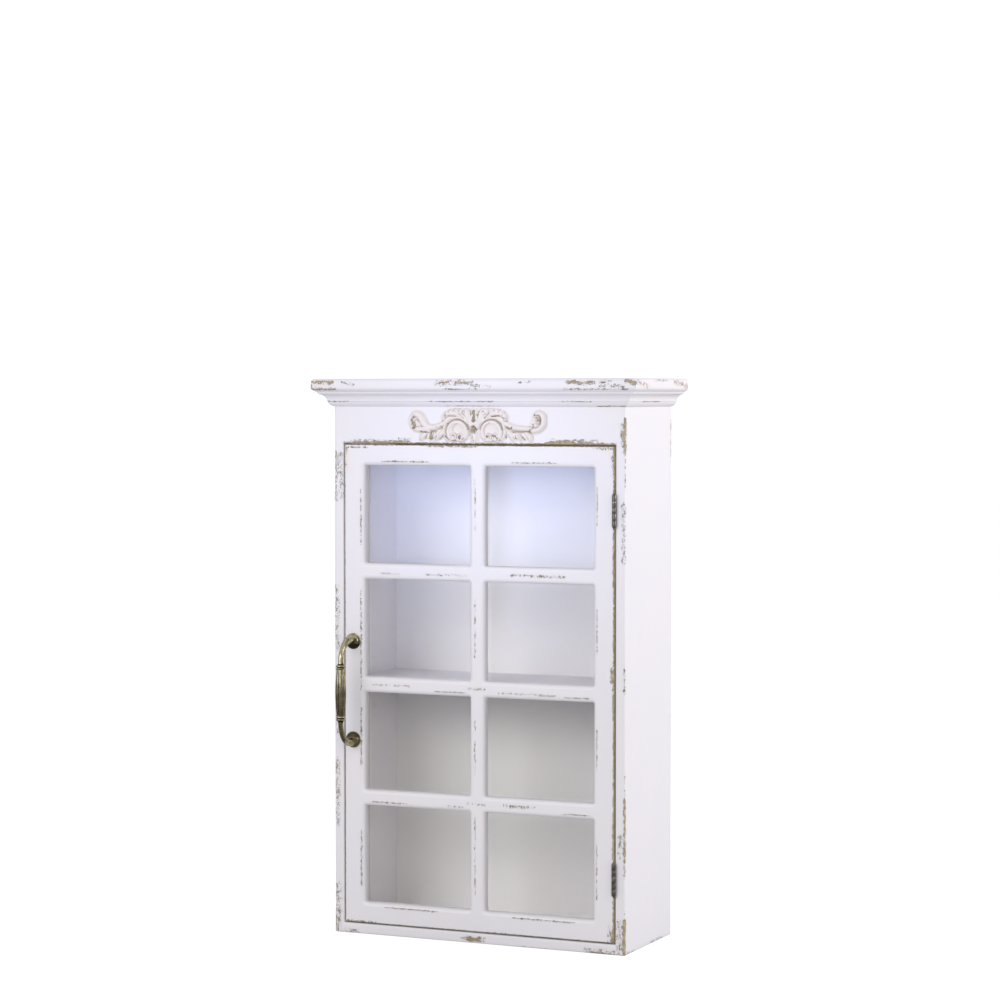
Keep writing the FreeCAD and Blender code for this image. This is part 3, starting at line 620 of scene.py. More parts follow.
def back_board(name, tint, cloud):
    """Hardboard, painted white inside the cabinet and left brown behind; a bare strip at its top is painted
    paler than the brown, as painted light in the gap above the door.
    """
    material, tree, shader = new_finish(name)
    normal = tree.nodes.new("ShaderNodeNewGeometry").outputs["Normal"]
    facing = tree.nodes.new("ShaderNodeSeparateXYZ")
    tree.links.new(normal, facing.inputs[0])
    place = tree.nodes.new("ShaderNodeSeparateXYZ")
    tree.links.new(tree.nodes.new("ShaderNodeTexCoord").outputs["Object"], place.inputs[0])
    behind = ramp(tree, facing.outputs[1], 0.3, 0.6)
    strip = ramp(tree, place.outputs[2], -38 * mm, -34 * mm)
    fibre = grain(tree, 700, 5, 0.7)
    clouds = grain(tree, 12, 3)
    streaks = grain(tree, 240, 3, 0.6, (1, 1, 0.05))
    paint = shade(tree, ramp(tree, clouds, 0.35, 0.65), tint, cloud)
    paint = shade(tree, ramp(tree, streaks, 0.55, 0.8, 0, 0.12), paint, pink_primer)
    board_brown = shade(tree, ramp(tree, fibre, 0.35, 0.65), (0.36, 0.25, 0.14), (0.25, 0.165, 0.09))
    board_brown = shade(tree, ramp(tree, clouds, 0.35, 0.65, 0, 0.4), board_brown, (0.42, 0.30, 0.18))
    # The bare strip is paler than the bare back: painted light where it is seen through the gap above the
    # door.
    pale_strip_painted_light = shade(tree, fibre, (0.50, 0.42, 0.26), (0.36, 0.28, 0.16))
    paint = shade(tree, strip, paint, pale_strip_painted_light)
    tree.links.new(shade(tree, behind, paint, board_brown), shader.inputs["Base Color"])
    tree.links.new(ramp(tree, behind, 0, 1, 0.75, 0.8), shader.inputs["Roughness"])
    shader.inputs["Specular IOR Level"].default_value = 0.2
    relief(tree, shader, reckon(tree, "MULTIPLY", fibre, behind), 0.08)
    return material


def clear_glass(name):
    """Clear float glass that lets the lamps through."""
    material, tree, shader = new_finish(name)
    shader.inputs["Base Color"].default_value = (0.985, 0.985, 0.98, 1)
    shader.inputs["Roughness"].default_value = 0.0
    shader.inputs["Transmission Weight"].default_value = 1
    shader.inputs["IOR"].default_value = 1.5
    clear = tree.nodes.new("ShaderNodeBsdfTransparent")
    path = tree.nodes.new("ShaderNodeLightPath")
    mix = tree.nodes.new("ShaderNodeMixShader")
    tree.links.new(path.outputs["Is Shadow Ray"], mix.inputs[0])
    tree.links.new(shader.outputs[0], mix.inputs[1])
    tree.links.new(clear.outputs[0], mix.inputs[2])
    tree.links.new(mix.outputs[0], tree.nodes["Material Output"].inputs["Surface"])
    return material


paint_white = (0.86, 0.845, 0.885)
paint_cloud = (0.87, 0.85, 0.875)
paint_upright = worn_paint("white_paint_upright", (1, 1, 0.05), paint_white, paint_cloud)
paint_level = worn_paint("white_paint_level", (0.05, 1, 1), paint_white, paint_cloud)
paint_carving = worn_paint("ornament_ivory", (1, 1, 1), (0.86, 0.80, 0.765), (0.875, 0.825, 0.80))
painted_back = back_board("back_panel_board", (0.86, 0.855, 0.865), (0.875, 0.865, 0.87))
glass = clear_glass("float_glass")
brass = old_brass("old_brass")
iron = metal("hinge_iron", (0.33, 0.31, 0.28), (0.14, 0.125, 0.11), 0.36, 300)
zinc = metal("zinc_steel_plate", (0.62, 0.63, 0.65), (0.45, 0.46, 0.48), 0.28, 500)
plastic = moulded_plastic("ivory_plastic", (0.72, 0.70, 0.66), (0.62, 0.60, 0.56))
ferrite = metal("ferrite_magnet", (0.07, 0.07, 0.075), (0.04, 0.04, 0.045), 0.5, 600)
pine = sawn_wood("pine_wood")


# Carcass

panel_low, panel_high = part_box("back_panel")
side_left_low, side_left_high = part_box("side_left")
side_right_low, side_right_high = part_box("side_right")
frieze_low, frieze_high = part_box("frieze_board")
sill_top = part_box("bottom_board")[1].z
front = frieze_low.y / mm
half_width = side_right_high.x / mm
underside = side_left_low.z / mm
frieze_edge = frieze_low.z / mm

# Rubbed places of the carcass
body_wear = upright(
    half_width,
    (chipped, 0, 9, 4, 2), (chipped, -1, 1, -9, 2.1), (chipped, -2.2, -8, -15, 2.9),
    (chipped, -0.8, -18, -27, 2.3), (chipped, 0, -27, -34, 1.3), (speckled, -3, 2, -32, 4),
    (scratched, 0, -34, -76, 0.9), (blushed, 0, -32, -78, 1.6), (speckled, -2.5, -97, -168, 3.5),
    (speckled, -1, -302, -332, 2.5), (scratched, 0, -430, -470, 0.9), (chipped, 0, -465, -541, 1.8),
    (speckled, -7, -512, -536, 4), (speckled, -1, -541, -563, 2.5), (scratched, 0, -604, -620, 0.9),
    (chipped, -1, -618, underside, 2.6), (speckled, -7, -620, underside, 5),
)
body_wear += upright(
    -half_width,
    (speckled, 3, -36, -94, 5), (speckled, 9, -38, -92, 4), (speckled, 3, -210, -288, 4.5),
    (speckled, 2, -360, -400, 3), (speckled, 3, -434, -518, 5), (speckled, 4, -600, underside, 6.5),
    (chipped, 0, -630, underside, 1.4),
)
body_wear += [
    # A faint darker line all down the right side's front arris, where the rounded edge would catch the
    # light: dirt and painted shade.
    (shade_and_soil, *down(half_width, front, frieze_high.z / mm, underside), 1.6, 0.45),
    speckled((half_width, -152, underside + 2), (half_width, -128, underside + 1), 3),
    speckled((half_width, -70, underside + 2), (half_width, -30, underside + 1), 3),
    chipped(*down(half_width, 0, 4, -40), 3),
    speckled(*down(half_width, 0, -350, -420), 2),
    speckled(*down(-half_width, 0, -100, -180), 2),
    chipped((-half_width, -150, underside), (-half_width, -60, underside), 1.4),
]
sill_wear = level(
    front, underside,
    (speckled, -192, -170, 2, 4), (chipped, -14, 3, 5, 2.4), (speckled, -20, 10, 5, 4),
    (speckled, 60, 95, 0, 2.4), (chipped, 158, 192, 0, 1.8), (speckled, 150, 192, 4, 4),
)
frieze_wear_and_edge_light = level(
    front, frieze_edge,
    (chipped, -190, 190, 0, 1.1), (chipped, -175, -152, 0.6, 1.8), (chipped, -150, -98, 1, 2.3),
    (speckled, -178, -94, 3, 2.6), (speckled, -110, -92, 6, 2.2), (chipped, 98, 158, 1, 2),
    (chipped, 110, 132, 3, 2.2), (speckled, 98, 164, 4, 3.4), (chipped, 158, 188, 0.5, 1.5),
)
# The frieze's underside is bare and painted pale, as painted light in the gap above the door.
frieze_wear_and_edge_light += level(front + 7, frieze_edge, (stripped_with_painted_light, -190, 190, 0, 7.4))


def side_board(name, outer, inner, lap):
    """A side with a rebate for the back panel, drawn up from its plan."""
    low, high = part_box(name)
    rebate = panel_low.y
    plan = [(outer, low.y), (inner, low.y), (inner, rebate), (lap, rebate), (lap, high.y), (outer, high.y)]
    piece = outline(name + "_painted", [Vector((x, y, low.z)) for x, y in plan])
    draw_out(piece, (0, 0, high.z - low.z))
    for height in (sill_top, frieze_low.z):
        score(piece, (0, 0, height), (0, 0, 1))

    def is_open(edge):
        x, y, z = midpoint(piece, edge)
        beside_door = near(x, inner) and near(y, low.y) and sill_top < z < frieze_low.z
        return near(x, outer) or beside_door or near(y, low.y) and near(z, low.z)

    round_off(piece, [edge for edge in sharp_edges(piece) if is_open(edge)], board_arris)
    divide_all(piece)
    age_and_shade(smooth(piece), body_wear, rub=side_rub)
    return finish(piece, "carcass", "white_paint", paint_upright, name)


side_board("side_left", side_left_low.x, side_left_high.x, panel_low.x)
side_board("side_right", side_right_high.x, side_right_low.x, panel_high.x)


def level_board(name, wear, low=None, high=None):
    """A board of the carcass that runs along the wall; its ends butt against the sides."""
    node_low, node_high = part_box(name)
    piece = block(name + "_painted", low or node_low, high or node_high)
    round_off(piece, [edge for edge in piece.data.edges if length_along(piece, edge, 0)], board_arris)
    divide_all(piece)
    age_and_shade(smooth(piece), wear, rub=level_rub)
    return finish(piece, "carcass", "white_paint", paint_level, name)


level_board("bottom_board", sill_wear)
level_board("frieze_board", frieze_wear_and_edge_light)
shelf_low, shelf_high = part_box("shelf")
shelf_low.x, shelf_high.x = side_left_high.x, side_right_low.x
level_board("shelf", [], shelf_low, shelf_high)


# Cornice

cap_low, cap_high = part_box("cap_board")
cap_half = cap_high.x / mm
cap_front = cap_low.y / mm
slab_low = cap_low.z / mm
slab_high = cap_high.z / mm
crown_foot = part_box("cornice_front")[0].z / mm
crown_reach = 16.8
crown_rise = slab_low - crown_foot
quirk_y = front - 6.4
quirk_z = crown_foot + 6.8
cap_corner = 1.2
cap_cuts_along = 110
cap_cuts_back = 44

# The slab's edge from the soffit up: inset from its widest, and height over the soffit
cap_levels = [
    (4.8, 0), (4.2, 0.5), (2.2, 1.7), (0.9, 2.8), (0.2, 3.9), (0, 5), (0, 12),
    (0.5, 14), (1.6, 15.7), (3, 16.7), (5, slab_high - slab_low),
]

cap_wear = level(
    cap_front, 0,
    (chipped, -224, -194, 56, 1.3), (speckled, -220, -192, 53, 1.8), (blushed, -222, -200, 52, 5.5),
    (speckled, -46, 6, 54, 4.4), (chipped, -41, -30, 55, 1.4), (chipped, -18, -2, 54.4, 1.5),
    (speckled, 60, 84, 55, 1.8), (chipped, 135, 144, 55, 1.9), (chipped, 148, 164, 54, 2),
    (speckled, 134, 192, 55, 3.4), (speckled, 176, 208, 50, 3),
)
cap_wear += level(
    cap_front + 1, 0,
    (chipped, -222, -190, 46.5, 1.3), (scratched, -36, 16, 46.4, 1.2), (scratched, 130, 214, 46.4, 1.3),
)
cap_wear += [
    chipped(*down(-cap_half + 1, cap_front + 1, 57, 47), 1.4),
    speckled((-180, cap_front, 55.5), (-164, cap_front, 52), 2),
    speckled((4, cap_front, 52), (28, cap_front, 49), 2.6),
    chipped((213, cap_front, 56.5), (225, cap_front, 53), 2.2),
    speckled((cap_half, -180, 56), (cap_half, -142, 49), 4),
    blushed((cap_half, -172, 53), (cap_half, -140, 51), 4),
    blushed((cap_half, -50, 55), (cap_half, -8, 51), 4.5),
    speckled((cap_half, -50, 56), (cap_half, -5, 50), 3.6),
    speckled((cap_half - 1, -120, 57), (cap_half - 1, -70, 57), 2),
]
crown_wear = level(
    quirk_y, quirk_z,
    (scratched, -208, -180, 0, 1), (scratched, -66, 26, 0, 0.9), (scratched, 120, 160, 0, 0.9),
)
crown_wear += level(front - 2, crown_foot, (scratched, -42, 32, 1.5, 0.9), (chipped, 166, 204, 1, 0.9))
crown_wear += [
    scratched(*across(-214, -190, front - 15, slab_low - 1), 1),
    scratched((half_width + 6.4, -120, quirk_z), (half_width + 6.4, -60, quirk_z), 0.9),
]


def cap_board():
    """The top slab, raised level by level from its soffit; each level is drawn in to its own size."""
    inset, rise = cap_levels[0]
    half = cap_half - inset
    nose = cap_front + inset
    plan = [(-half, nose), (half, nose), (half, 0), (-half, 0)]
    piece = outline("cap_painted", [Vector((x, y, slab_low)) * mm for x, y in plan])
    pick_all(piece)
    for next_inset, next_rise in cap_levels[1:]:
        way = (0, 0, (next_rise - rise) * mm)
        bpy.ops.mesh.extrude_region_move(TRANSFORM_OT_translate={"value": way})
        spread = ((cap_half - next_inset) / half, (cap_front + next_inset) / nose, 1)
        bpy.ops.transform.resize(value=spread, center_override=(0, 0, 0))
        half, nose, rise = cap_half - next_inset, cap_front + next_inset, next_rise
    leave(piece)
    face_outwards(piece)

    def is_corner(edge):
        x, y, z = midpoint(piece, edge)
        along_board = length_along(piece, edge, 0) or length_along(piece, edge, 1)
        return y < cap_front * mm / 2 and not along_board

    round_off(piece, [edge for edge in piece.data.edges if is_corner(edge)], cap_corner, 2)
    divide(piece, 0, cuts=cap_cuts_along)
    divide(piece, 1, cuts=cap_cuts_back)
    age_and_shade(smooth(piece), cap_wear)
    return finish(piece, "carcass", "white_paint", paint_level, "cap_board")


def curve_points(start, pull, end, count):
    """Points on a curve from start to end that a third point pulls out, without the end itself."""
    shares = [step / count for step in range(count)]
    return [start * (1 - t) ** 2 + pull * 2 * t * (1 - t) + end * t ** 2 for t in shares]


def crown_section():
    """Ovolo, quirk, cove and upper ovolo from the foot up: reach from the face and height."""
    foot = Vector((0, 0))
    ovolo_top = Vector((6.8, 6.2))
    cove_foot = Vector((7.2, 7.2))
    cove_top = Vector((12, 15))
    nose = Vector((crown_reach, 18))
    points = curve_points(foot, Vector((5, 1.6)), ovolo_top, 8)
    points += [ovolo_top, Vector((6, 6.7))]
    points += curve_points(cove_foot, Vector((7.6, 12.2)), cove_top, 9)
    points += curve_points(cove_top, Vector((16.4, 15.8)), nose, 5)
    points += [nose, Vector((crown_reach, crown_rise)), Vector((0, crown_rise))]
    return points


def crown(name, place_of, way, cuts):
    """One length of the crown moulding, mitred at the front corners."""
    piece = outline(name + "_painted", [place_of(reach, rise) * mm for reach, rise in crown_section()])
    draw_out(piece, way * mm)
    divide(piece, 0 if way.x else 1)
    for place, normal in cuts:
        saw(piece, place * mm, normal)
    age_and_shade(smooth(piece), crown_wear)
    return finish(piece, "carcass", "white_paint", paint_level, name)


def front_place(reach, rise):
    """A point of the front moulding's section, past its left end."""
    return Vector((-half_width - crown_reach, front - reach, crown_foot + rise))


def side_place(side):
    """The points of a side moulding's section, past its front end."""
    return lambda reach, rise: Vector((side * (half_width + reach), front - crown_reach, crown_foot + rise))


left_mitre = Vector((-half_width, front, 0))
right_mitre = Vector((half_width, front, 0))
return_length = Vector((0, crown_reach - front, 0))
cap_board()
crown("cornice_front", front_place, Vector((2 * (half_width + crown_reach), 0, 0)),
      [(left_mitre, (-1, 1, 0)), (right_mitre, (1, 1, 0))])
crown("cornice_left", side_place(-1), return_length, [(left_mitre, (1, -1, 0))])
crown("cornice_right", side_place(1), return_length, [(right_mitre, (-1, -1, 0))])


# Carved ornament: a relief raised on a fine grid; ridges hold (x, z, half width, proud of the frieze)

ornament_low, ornament_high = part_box("ornament")
carving_step = 0.47
carving_axis = -2.75
carving_skirt = 1.7
skirt_proud = 1.7
thinnest_carving = 0.5
view_lean = 0.47
lean_plane = 4
ring_x, ring_z = 21, -8.2
ring_middle_radius = 12.8
ring_groove_radius = 16.1
bowl_radius = 11.5
bowl_floor = 2
bowl_rise = 2.4
ridge_fullness = 0.55
skirt_fullness = 0.5
hollow_rounds = 12
hollow_start = 0.08
hollow_depth = 0.6
deepest_hollow_shade = 0.8


def arc(x, z, radius, start, stop, count=13):
    """Points on an arc between two angles in degrees; the radius may run from one to another."""
    first, last = radius if isinstance(radius, tuple) else (radius, radius)
    places = []
    for share in np.linspace(0, 1, count):
        turn = math.radians(start + (stop - start) * share)
        reach = first + (last - first) * share
        places.append((x + reach * math.cos(turn), z + reach * math.sin(turn)))
    return places


def rounded(places, half, proud):
    """Gives every point of a line the same half width and height."""
    return [(x, z, half, proud) for x, z in places]


def mirrored(line):
    """The same line on the other side of the carving's axis."""
    return [(2 * carving_axis - x, *rest) for x, *rest in line]


side_ridges = [
    [(1, -1, 3.6, 4.4), (4, 7, 4.6, 5), (7, 14, 5, 5.4), (9, 19.3, 3.6, 5)],
    rounded(arc(ring_x, ring_z, ring_middle_radius, 208, -28, 25), 3.3, 5.4),
    rounded(arc(16, -14, (6, 1.8), 185, 560, 25), 1.35, 5.2),
    rounded(arc(27, -13.5, (5.6, 1.8), -5, -380, 25), 1.35, 5.2),
    [(13, 11, 3, 4.8), (20, 14.5, 4.2, 5.8), (30, 16, 4.4, 6.2), (37, 14, 3.8, 6), (40.5, 10.5, 2.8, 5.4),
     (39.5, 7.5, 2, 5)],
    [(16, 20, 1.8, 5), (24, 20.2, 1.7, 5), (32, 18.6, 1.6, 5)],
    [(37, 4.5, 3, 5), (44, 1, 3.3, 5.2), (52, -2, 3.4, 5.2), (62, -3.5, 3.2, 5.2), (72, -4, 3, 5),
     (79, -4.5, 2.6, 4.8)],
    [(37.5, 2, 2.4, 4.6), (39.5, -5, 2.4, 4.4), (39, -12, 2.2, 4.2), (35.5, -17.5, 1.8, 4)],
    [(8, 6, 5, 4), (14, 11, 5, 4), (22, 11.5, 4, 4), (30, 10.5, 4, 4), (36, 6.5, 4, 4)],
    [(13, 18, 4, 4.2), (20, 19, 3.6, 4.2), (28, 18.5, 3, 4.2)],
]
right_ridges = [
    [(43, -7, 4.5, 2.6), (52, -11.5, 4.8, 2.6), (62, -12.5, 4.6, 2.6), (73, -12.5, 4.4, 2.6)],
    [(45, -7.5, 3, 4.4), (48.5, -12.5, 3.2, 4.8), (50.5, -17, 2.2, 3.8)],
    [(57, -9, 2, 4.2), (60, -13, 2.3, 4.6), (62, -17.2, 1.8, 3.6)],
    [(69, -8.5, 2.8, 4.4), (73.5, -13.5, 3.4, 4.8), (75.5, -17.8, 2.2, 3.8)],
    [(74, -4.5, 2.8, 5), (80, -6, 3.2, 5.4), (86, -4.3, 3.6, 5.8), (91, 0.5, 4, 6.2), (92.4, 7, 4, 6.6),
     (91.2, 13, 3.8, 6.4), (87, 16.2, 3.2, 6), (82.5, 15.4, 2.4, 5.4)],
    [(80.5, 11.5, 1.5, 5), (84.5, 11, 1.6, 5.2), (87.2, 8.3, 1.6, 5.4), (86.4, 4.8, 1.5, 5.2),
     (83.2, 4.2, 1.4, 5), (81.4, 6.8, 1.3, 4.8)],
    [(79, 0, 3.4, 2.4), (81, 5, 4.4, 2.4), (83, 10, 5, 2.4)],
]
left_ridges = [
    [(-46, -8, 4.5, 2.6), (-56, -12, 4.6, 2.6), (-66, -12.5, 4.4, 2.6), (-75, -12, 3.6, 2.6)],
    [(-60, -3, 3.2, 5), (-68, -1.5, 4, 5.4), (-74, 3, 5, 6), (-77.5, 9, 5.2, 6.4), (-82, 13.5, 4.6, 6.2),
     (-87, 15, 3.4, 5.6)],
    [(-66, -7, 2.2, 4.6), (-76, -6, 2.4, 5), (-84, -5.4, 2.4, 5.2), (-90, -2, 2.4, 5.4),
     (-92.8, 4, 2.4, 5.4), (-92.2, 10, 2.2, 5.2), (-88.5, 14, 2, 5)],
    [(-84, 9, 1.8, 5.2), (-87.5, 7.5, 1.6, 5.2), (-88, 4.5, 1.4, 5)],
    [(-86, -1, 4, 2.6), (-86, 8, 4.5, 3)],
    [(-47, -8, 2.8, 4.4), (-50.5, -12, 3, 4.8), (-55, -16.5, 2.2, 3.8)],
    [(-57.5, -9, 1.8, 4.2), (-58, -13, 2, 4.4), (-58, -17, 1.6, 3.6)],
    [(-62, -10, 2.2, 4.2), (-63.5, -14, 2.6, 4.6), (-64.5, -17, 2, 3.8)],
    [(-70, -9, 2.8, 4.4), (-74, -13, 3.4, 4.8), (-77.5, -17, 2.4, 3.8)],
]
middle_ridges = [
    [(carving_axis, -8, 4.5, 4.4), (carving_axis, -14, 5.2, 4.8), (carving_axis, -19, 4.4, 4.2)],
    [(carving_axis, 3, 4.5, 3.8), (carving_axis, 12, 6, 4.2), (carving_axis, 19.5, 4.8, 4.2)],
    [(-4.2, -5.2, 3.6, 5.8), (-4, -5.2, 3.6, 5.8)],
]
ring_groove = arc(ring_x, ring_z, ring_groove_radius, 12, 168, 15)
side_grooves = [
    (ring_groove, 2.4, 0.8),
    ([(1.6, 3), (2.6, 10), (4, 19)], 1, 0.8),
    ([(12, 9.5), (15, 12.5), (18.5, 16)], 2, 0.9),
    ([(22.5, 12), (28, 12.2), (33, 12.6)], 2, 0.8),
    ([(43, -2), (45, -3.3), (49, -3.6), (50.5, -1.6)], 1.8, 0.9),
    ([(50, -7), (60, -7.6), (75, -6.8)], 1.4, 0.8),
    ([(16.5, 23), (18, 18.5)], 2.2, 0.8),
    ([(24.5, 23), (25.5, 18.8)], 2.2, 0.8),
    ([(33, 21), (32, 17.2)], 2, 0.8),
    ([(39.5, 17), (36.5, 13)], 1.8, 0.8),
    ([(10.5, 22.5), (9.5, 17)], 1.8, 0.8),
]
middle_grooves = [
    ([(-3, 18.5), (-2.6, 13), (-3.2, 6)], 2.4, 1.5),
    (arc(-4.2, -5.2, 4.6, 0, 360, 17), 1.6, 0.8),
]


def marks(layer, radius, strength, *lines):
    """Strokes along lines of (x, z) on the carving; one point alone is a dot."""
    strokes = []
    for line in lines:
        for (x, z), (next_x, next_z) in zip(line, line[1:] or line):
            strokes.append((layer, (x, 0, z), (next_x, 0, next_z), radius, strength))
    return strokes


left_groove = mirrored(ring_groove)
carving_wear_and_shade = marks(
    bare, 3, 1.3,
    [(-3, 18), (-2.5, 13), (-3.2, 6.5)], [(-87, 3.5), (-86, -2.5)], [(-63, -11.5), (-63.2, -16.5)],
    [(74.5, -6)],
)
carving_wear_and_shade += marks(bare, 6.4, 1.19, [(-3.7, -5), (-3.4, -5)])
# Dark dots and short lines, mostly in the carving's eyes, slits and grooves: worn paint and painted shade
# there.
carving_wear_and_shade += marks(bare, 2.6, 0.66, [(-22.7, -14)], [(-22, -15.5)], [(-18, 18)], [(16, -14)])
carving_wear_and_shade += marks(
    bare, 1.5, 0.8,
    [(-4.5, 18.8), (-1, 18.8)], [(-4.5, 5.8), (-0.5, 6.6)], [(-4.2, -13), (-4, -15.5)],
    [(-2.8, -18.5), (-2.8, -20.5)],
    [(-6.8, 16), (-6.6, 13)], [(1, 14.6), (2.4, 13.2)], [(-42.3, 14.5), (-42, 11.5)], [(-28, 18.2)],
    [(-35, -12), (-35, -13)], [(-32, -12.5)], [(-42, -13.5), (-39, -16.5)], [(-32, -18.9), (-27, -18.7)],
    [(-88.5, 10.8), (-87, 10)], [(-90, 7), (-89.7, 6)], [(-90.2, 1.3)],
    [(-78, -7.4), (-72, -8.2), (-66, -8.9)], [(-64, -8.4), (-59, -8.2)], [(-62, -9), (-62, -11.5)],
    [(-56, -8.5)], [(-56, -11.2)], [(-56.5, -15), (-55, -16.5)], [(-71.3, -16.5)], [(-77, -17)],
    [(-39.3, 3)], [(24, -12), (27, -13), (29.5, -14.8)], [(23.5, -18), (23.5, -18.8)],
    [(22.5, 12), (27, 12)], [(23.5, 17)],
    [(11, 18.2)], [(18.3, 15.8)], [(43, -2), (45, -3.3), (49, -3.6), (50.5, -1.6)], [(51, -8.2), (55.5, -9)],
    [(62, -9.3)], [(48.5, -7)], [(75, -6.5), (79, -3), (79.3, 3.5)], [(54.8, -12), (55.2, -16.5)],
    [(63, -12), (67, -17.5)], [(41, -12), (41.5, -16.5)], [(80, 15), (80.3, 11.3)], [(83.5, 7), (88.5, 7.2)],
)
# Dark lines along the grooves: painted shade.
carving_wear_and_shade += marks(
    shade_and_soil, 1.5, 1,
    ring_groove, left_groove[6:], [(12, 9.5), (15, 12.5), (18.5, 16)], [(27, 12.6), (33, 13)],
    [(83.5, 11.2), (88, 9.6), (89.5, 7.2), (88.5, 3), (86.5, -0.5)], [(-44.5, -12), (-51, -17.3)],
    [(-68, -11.5), (-71, -16)], [(55, -7.2), (75, -6.8)], [(-48.5, -0.8), (-46.5, -1.4)],
)
# Soft dark patches inside the rings, beside the leaflets and under a leaf tip: painted shade.
carving_wear_and_shade += marks(
    shade_and_soil, 2.6, 0.55,
    [(12, -10), (12, -4), (15, 1), (20, 4)], [(-32, -7), (-32.3, -3), (-30, 0), (-26, 2.5)],
    [(-20, 15), (-17, 19)],
    [(78, -11), (79, -17)], [(61.5, -11.5), (65, -14), (67, -18)], [(39, 7.8), (42, 10)], [(-83, -5)],
)


def along(points, step=0.4):
    """Samples a smooth line through points, with every value in step with the place."""
    points = np.array(points, dtype=float)
    guides = np.vstack([2 * points[0] - points[1], points, 2 * points[-1] - points[-2]])
    samples = []
    for a, b, c, d in zip(guides, guides[1:], guides[2:], guides[3:]):
        count = max(2, int(np.linalg.norm((c - b)[:2]) / step))
        t = np.linspace(0, 1, count, endpoint=False)[:, None]
        bend = (2 * a - 5 * b + 4 * c - d) * t ** 2 + (3 * b - a - 3 * c + d) * t ** 3
        samples.append((2 * b + (c - a) * t + bend) / 2)
    return np.vstack(samples + [points[-1:]])


def raise_ridge(height, x, z, ridge):
    """Raises a rounded ridge and the low skirt along its feet."""
    for place_x, place_z, half, proud in along(ridge):
        place_x += view_lean * (proud - lean_plane)
        reach = half + carving_skirt
        close = (np.abs(x - place_x) < reach) & (np.abs(z - place_z) < reach)
        gap = np.hypot(x[close] - place_x, z[close] - place_z)
        swell = proud * np.clip(1 - (gap / half) ** 2, 0, 1) ** ridge_fullness
        skirt = skirt_proud * np.clip(1 - (gap / reach) ** 2, 0, 1) ** skirt_fullness
        height[close] = np.maximum(height[close], np.maximum(swell, skirt))


def cut_groove(height, x, z, line, depth, width):
    """Cuts a groove, but never down to the frieze."""
    gap = np.full(x.shape, np.inf)
    for place_x, place_z in along(line):
        gap = np.minimum(gap, np.hypot(x - place_x, z - place_z))
    cut = height - depth * np.exp(-(gap / width) ** 2)
    return np.where(height > thinnest_carving, np.maximum(cut, thinnest_carving), height)


def carved_height(x, z):
    """How far the carving stands proud of the frieze at each place."""
    height = np.zeros(x.shape)
    pairs = side_ridges + [mirrored(ridge) for ridge in side_ridges]
    for ridge in middle_ridges + pairs + right_ridges + left_ridges:
        raise_ridge(height, x, z, ridge)
    for middle in (ring_x, 2 * carving_axis - ring_x):
        gap = np.hypot(x - middle, z - ring_z)
        bowl = bowl_floor + bowl_rise * (gap / bowl_radius) ** 2
        height = np.where(gap < bowl_radius, np.maximum(height, bowl), height)
    grooves = middle_grooves + side_grooves + [(mirrored(line), *cut) for line, *cut in side_grooves]
    for line, depth, width in grooves:
        height = cut_groove(height, x, z, line, depth, width)
    return height


def closed_up(kept):
    """Fills a cell where two kept cells touch only by their corners."""
    for _ in range(3):
        down_right = kept[:-1, :-1] & kept[1:, 1:] & ~kept[:-1, 1:] & ~kept[1:, :-1]
        kept[:-1, 1:] |= down_right
        down_left = kept[:-1, 1:] & kept[1:, :-1] & ~kept[:-1, :-1] & ~kept[1:, 1:]
        kept[:-1, :-1] |= down_left
    return kept


def ornament():
    """The carving: a grid cut to its outline, raised to its relief, softened and closed at the frieze."""
    clear_selection()
    size = ornament_high - ornament_low
    columns = int(size.x / mm / carving_step)
    rows = int(size.z / mm / carving_step)
    middle = (ornament_low + ornament_high) / 2
    middle.y = front * mm
    bpy.ops.mesh.primitive_grid_add(
        x_subdivisions=columns, y_subdivisions=rows, size=1, location=middle, rotation=(math.pi / 2, 0, 0),
    )
    bpy.context.object.scale = (size.x, size.z, 1)
    piece = named("ornament_carved")
    centres = read(piece.data.polygons, "center", 3)
    column = np.floor((centres[:, 0] - ornament_low.x) / size.x * columns).astype(int)
    row = np.floor((centres[:, 2] - ornament_low.z) / size.z * rows).astype(int)
    kept = np.zeros((rows, columns), dtype=bool)
    kept[row, column] = carved_height(centres[:, 0] / mm, centres[:, 2] / mm) >= thinnest_carving
    kept = closed_up(kept)[row, column]
    edit(piece, "FACE", lambda face: not kept[face.index], bpy.ops.mesh.delete, type="FACE")
    places = read(piece.data.vertices, "co", 3)
    height = np.maximum(carved_height(places[:, 0] / mm, places[:, 2] / mm), thinnest_carving)
    places[:, 1] = (front - height) * mm
    piece.data.vertices.foreach_set("co", places.ravel())
    apply_modifier(piece, "soften", "SMOOTH", factor=0.5, iterations=2, use_x=False, use_z=False)
    draw_out(piece, (0, ornament_high.y - ornament_low.y, 0))
    for vertex in piece.data.vertices:
        vertex.co.y = min(vertex.co.y, front * mm)
    # The carving's hollows are browned: painted shade, with some dirt.
    shade_and_dirt = np.clip((hollows(piece, hollow_rounds) - hollow_start) / hollow_depth, 0, deepest_hollow_shade)
    age_and_shade(smooth(piece, 60), carving_wear_and_shade, shade_and_dirt=shade_and_dirt, flat=True)
    return finish(piece, "carcass", "ornament_paint", paint_carving, "ornament")


ornament()


# Door

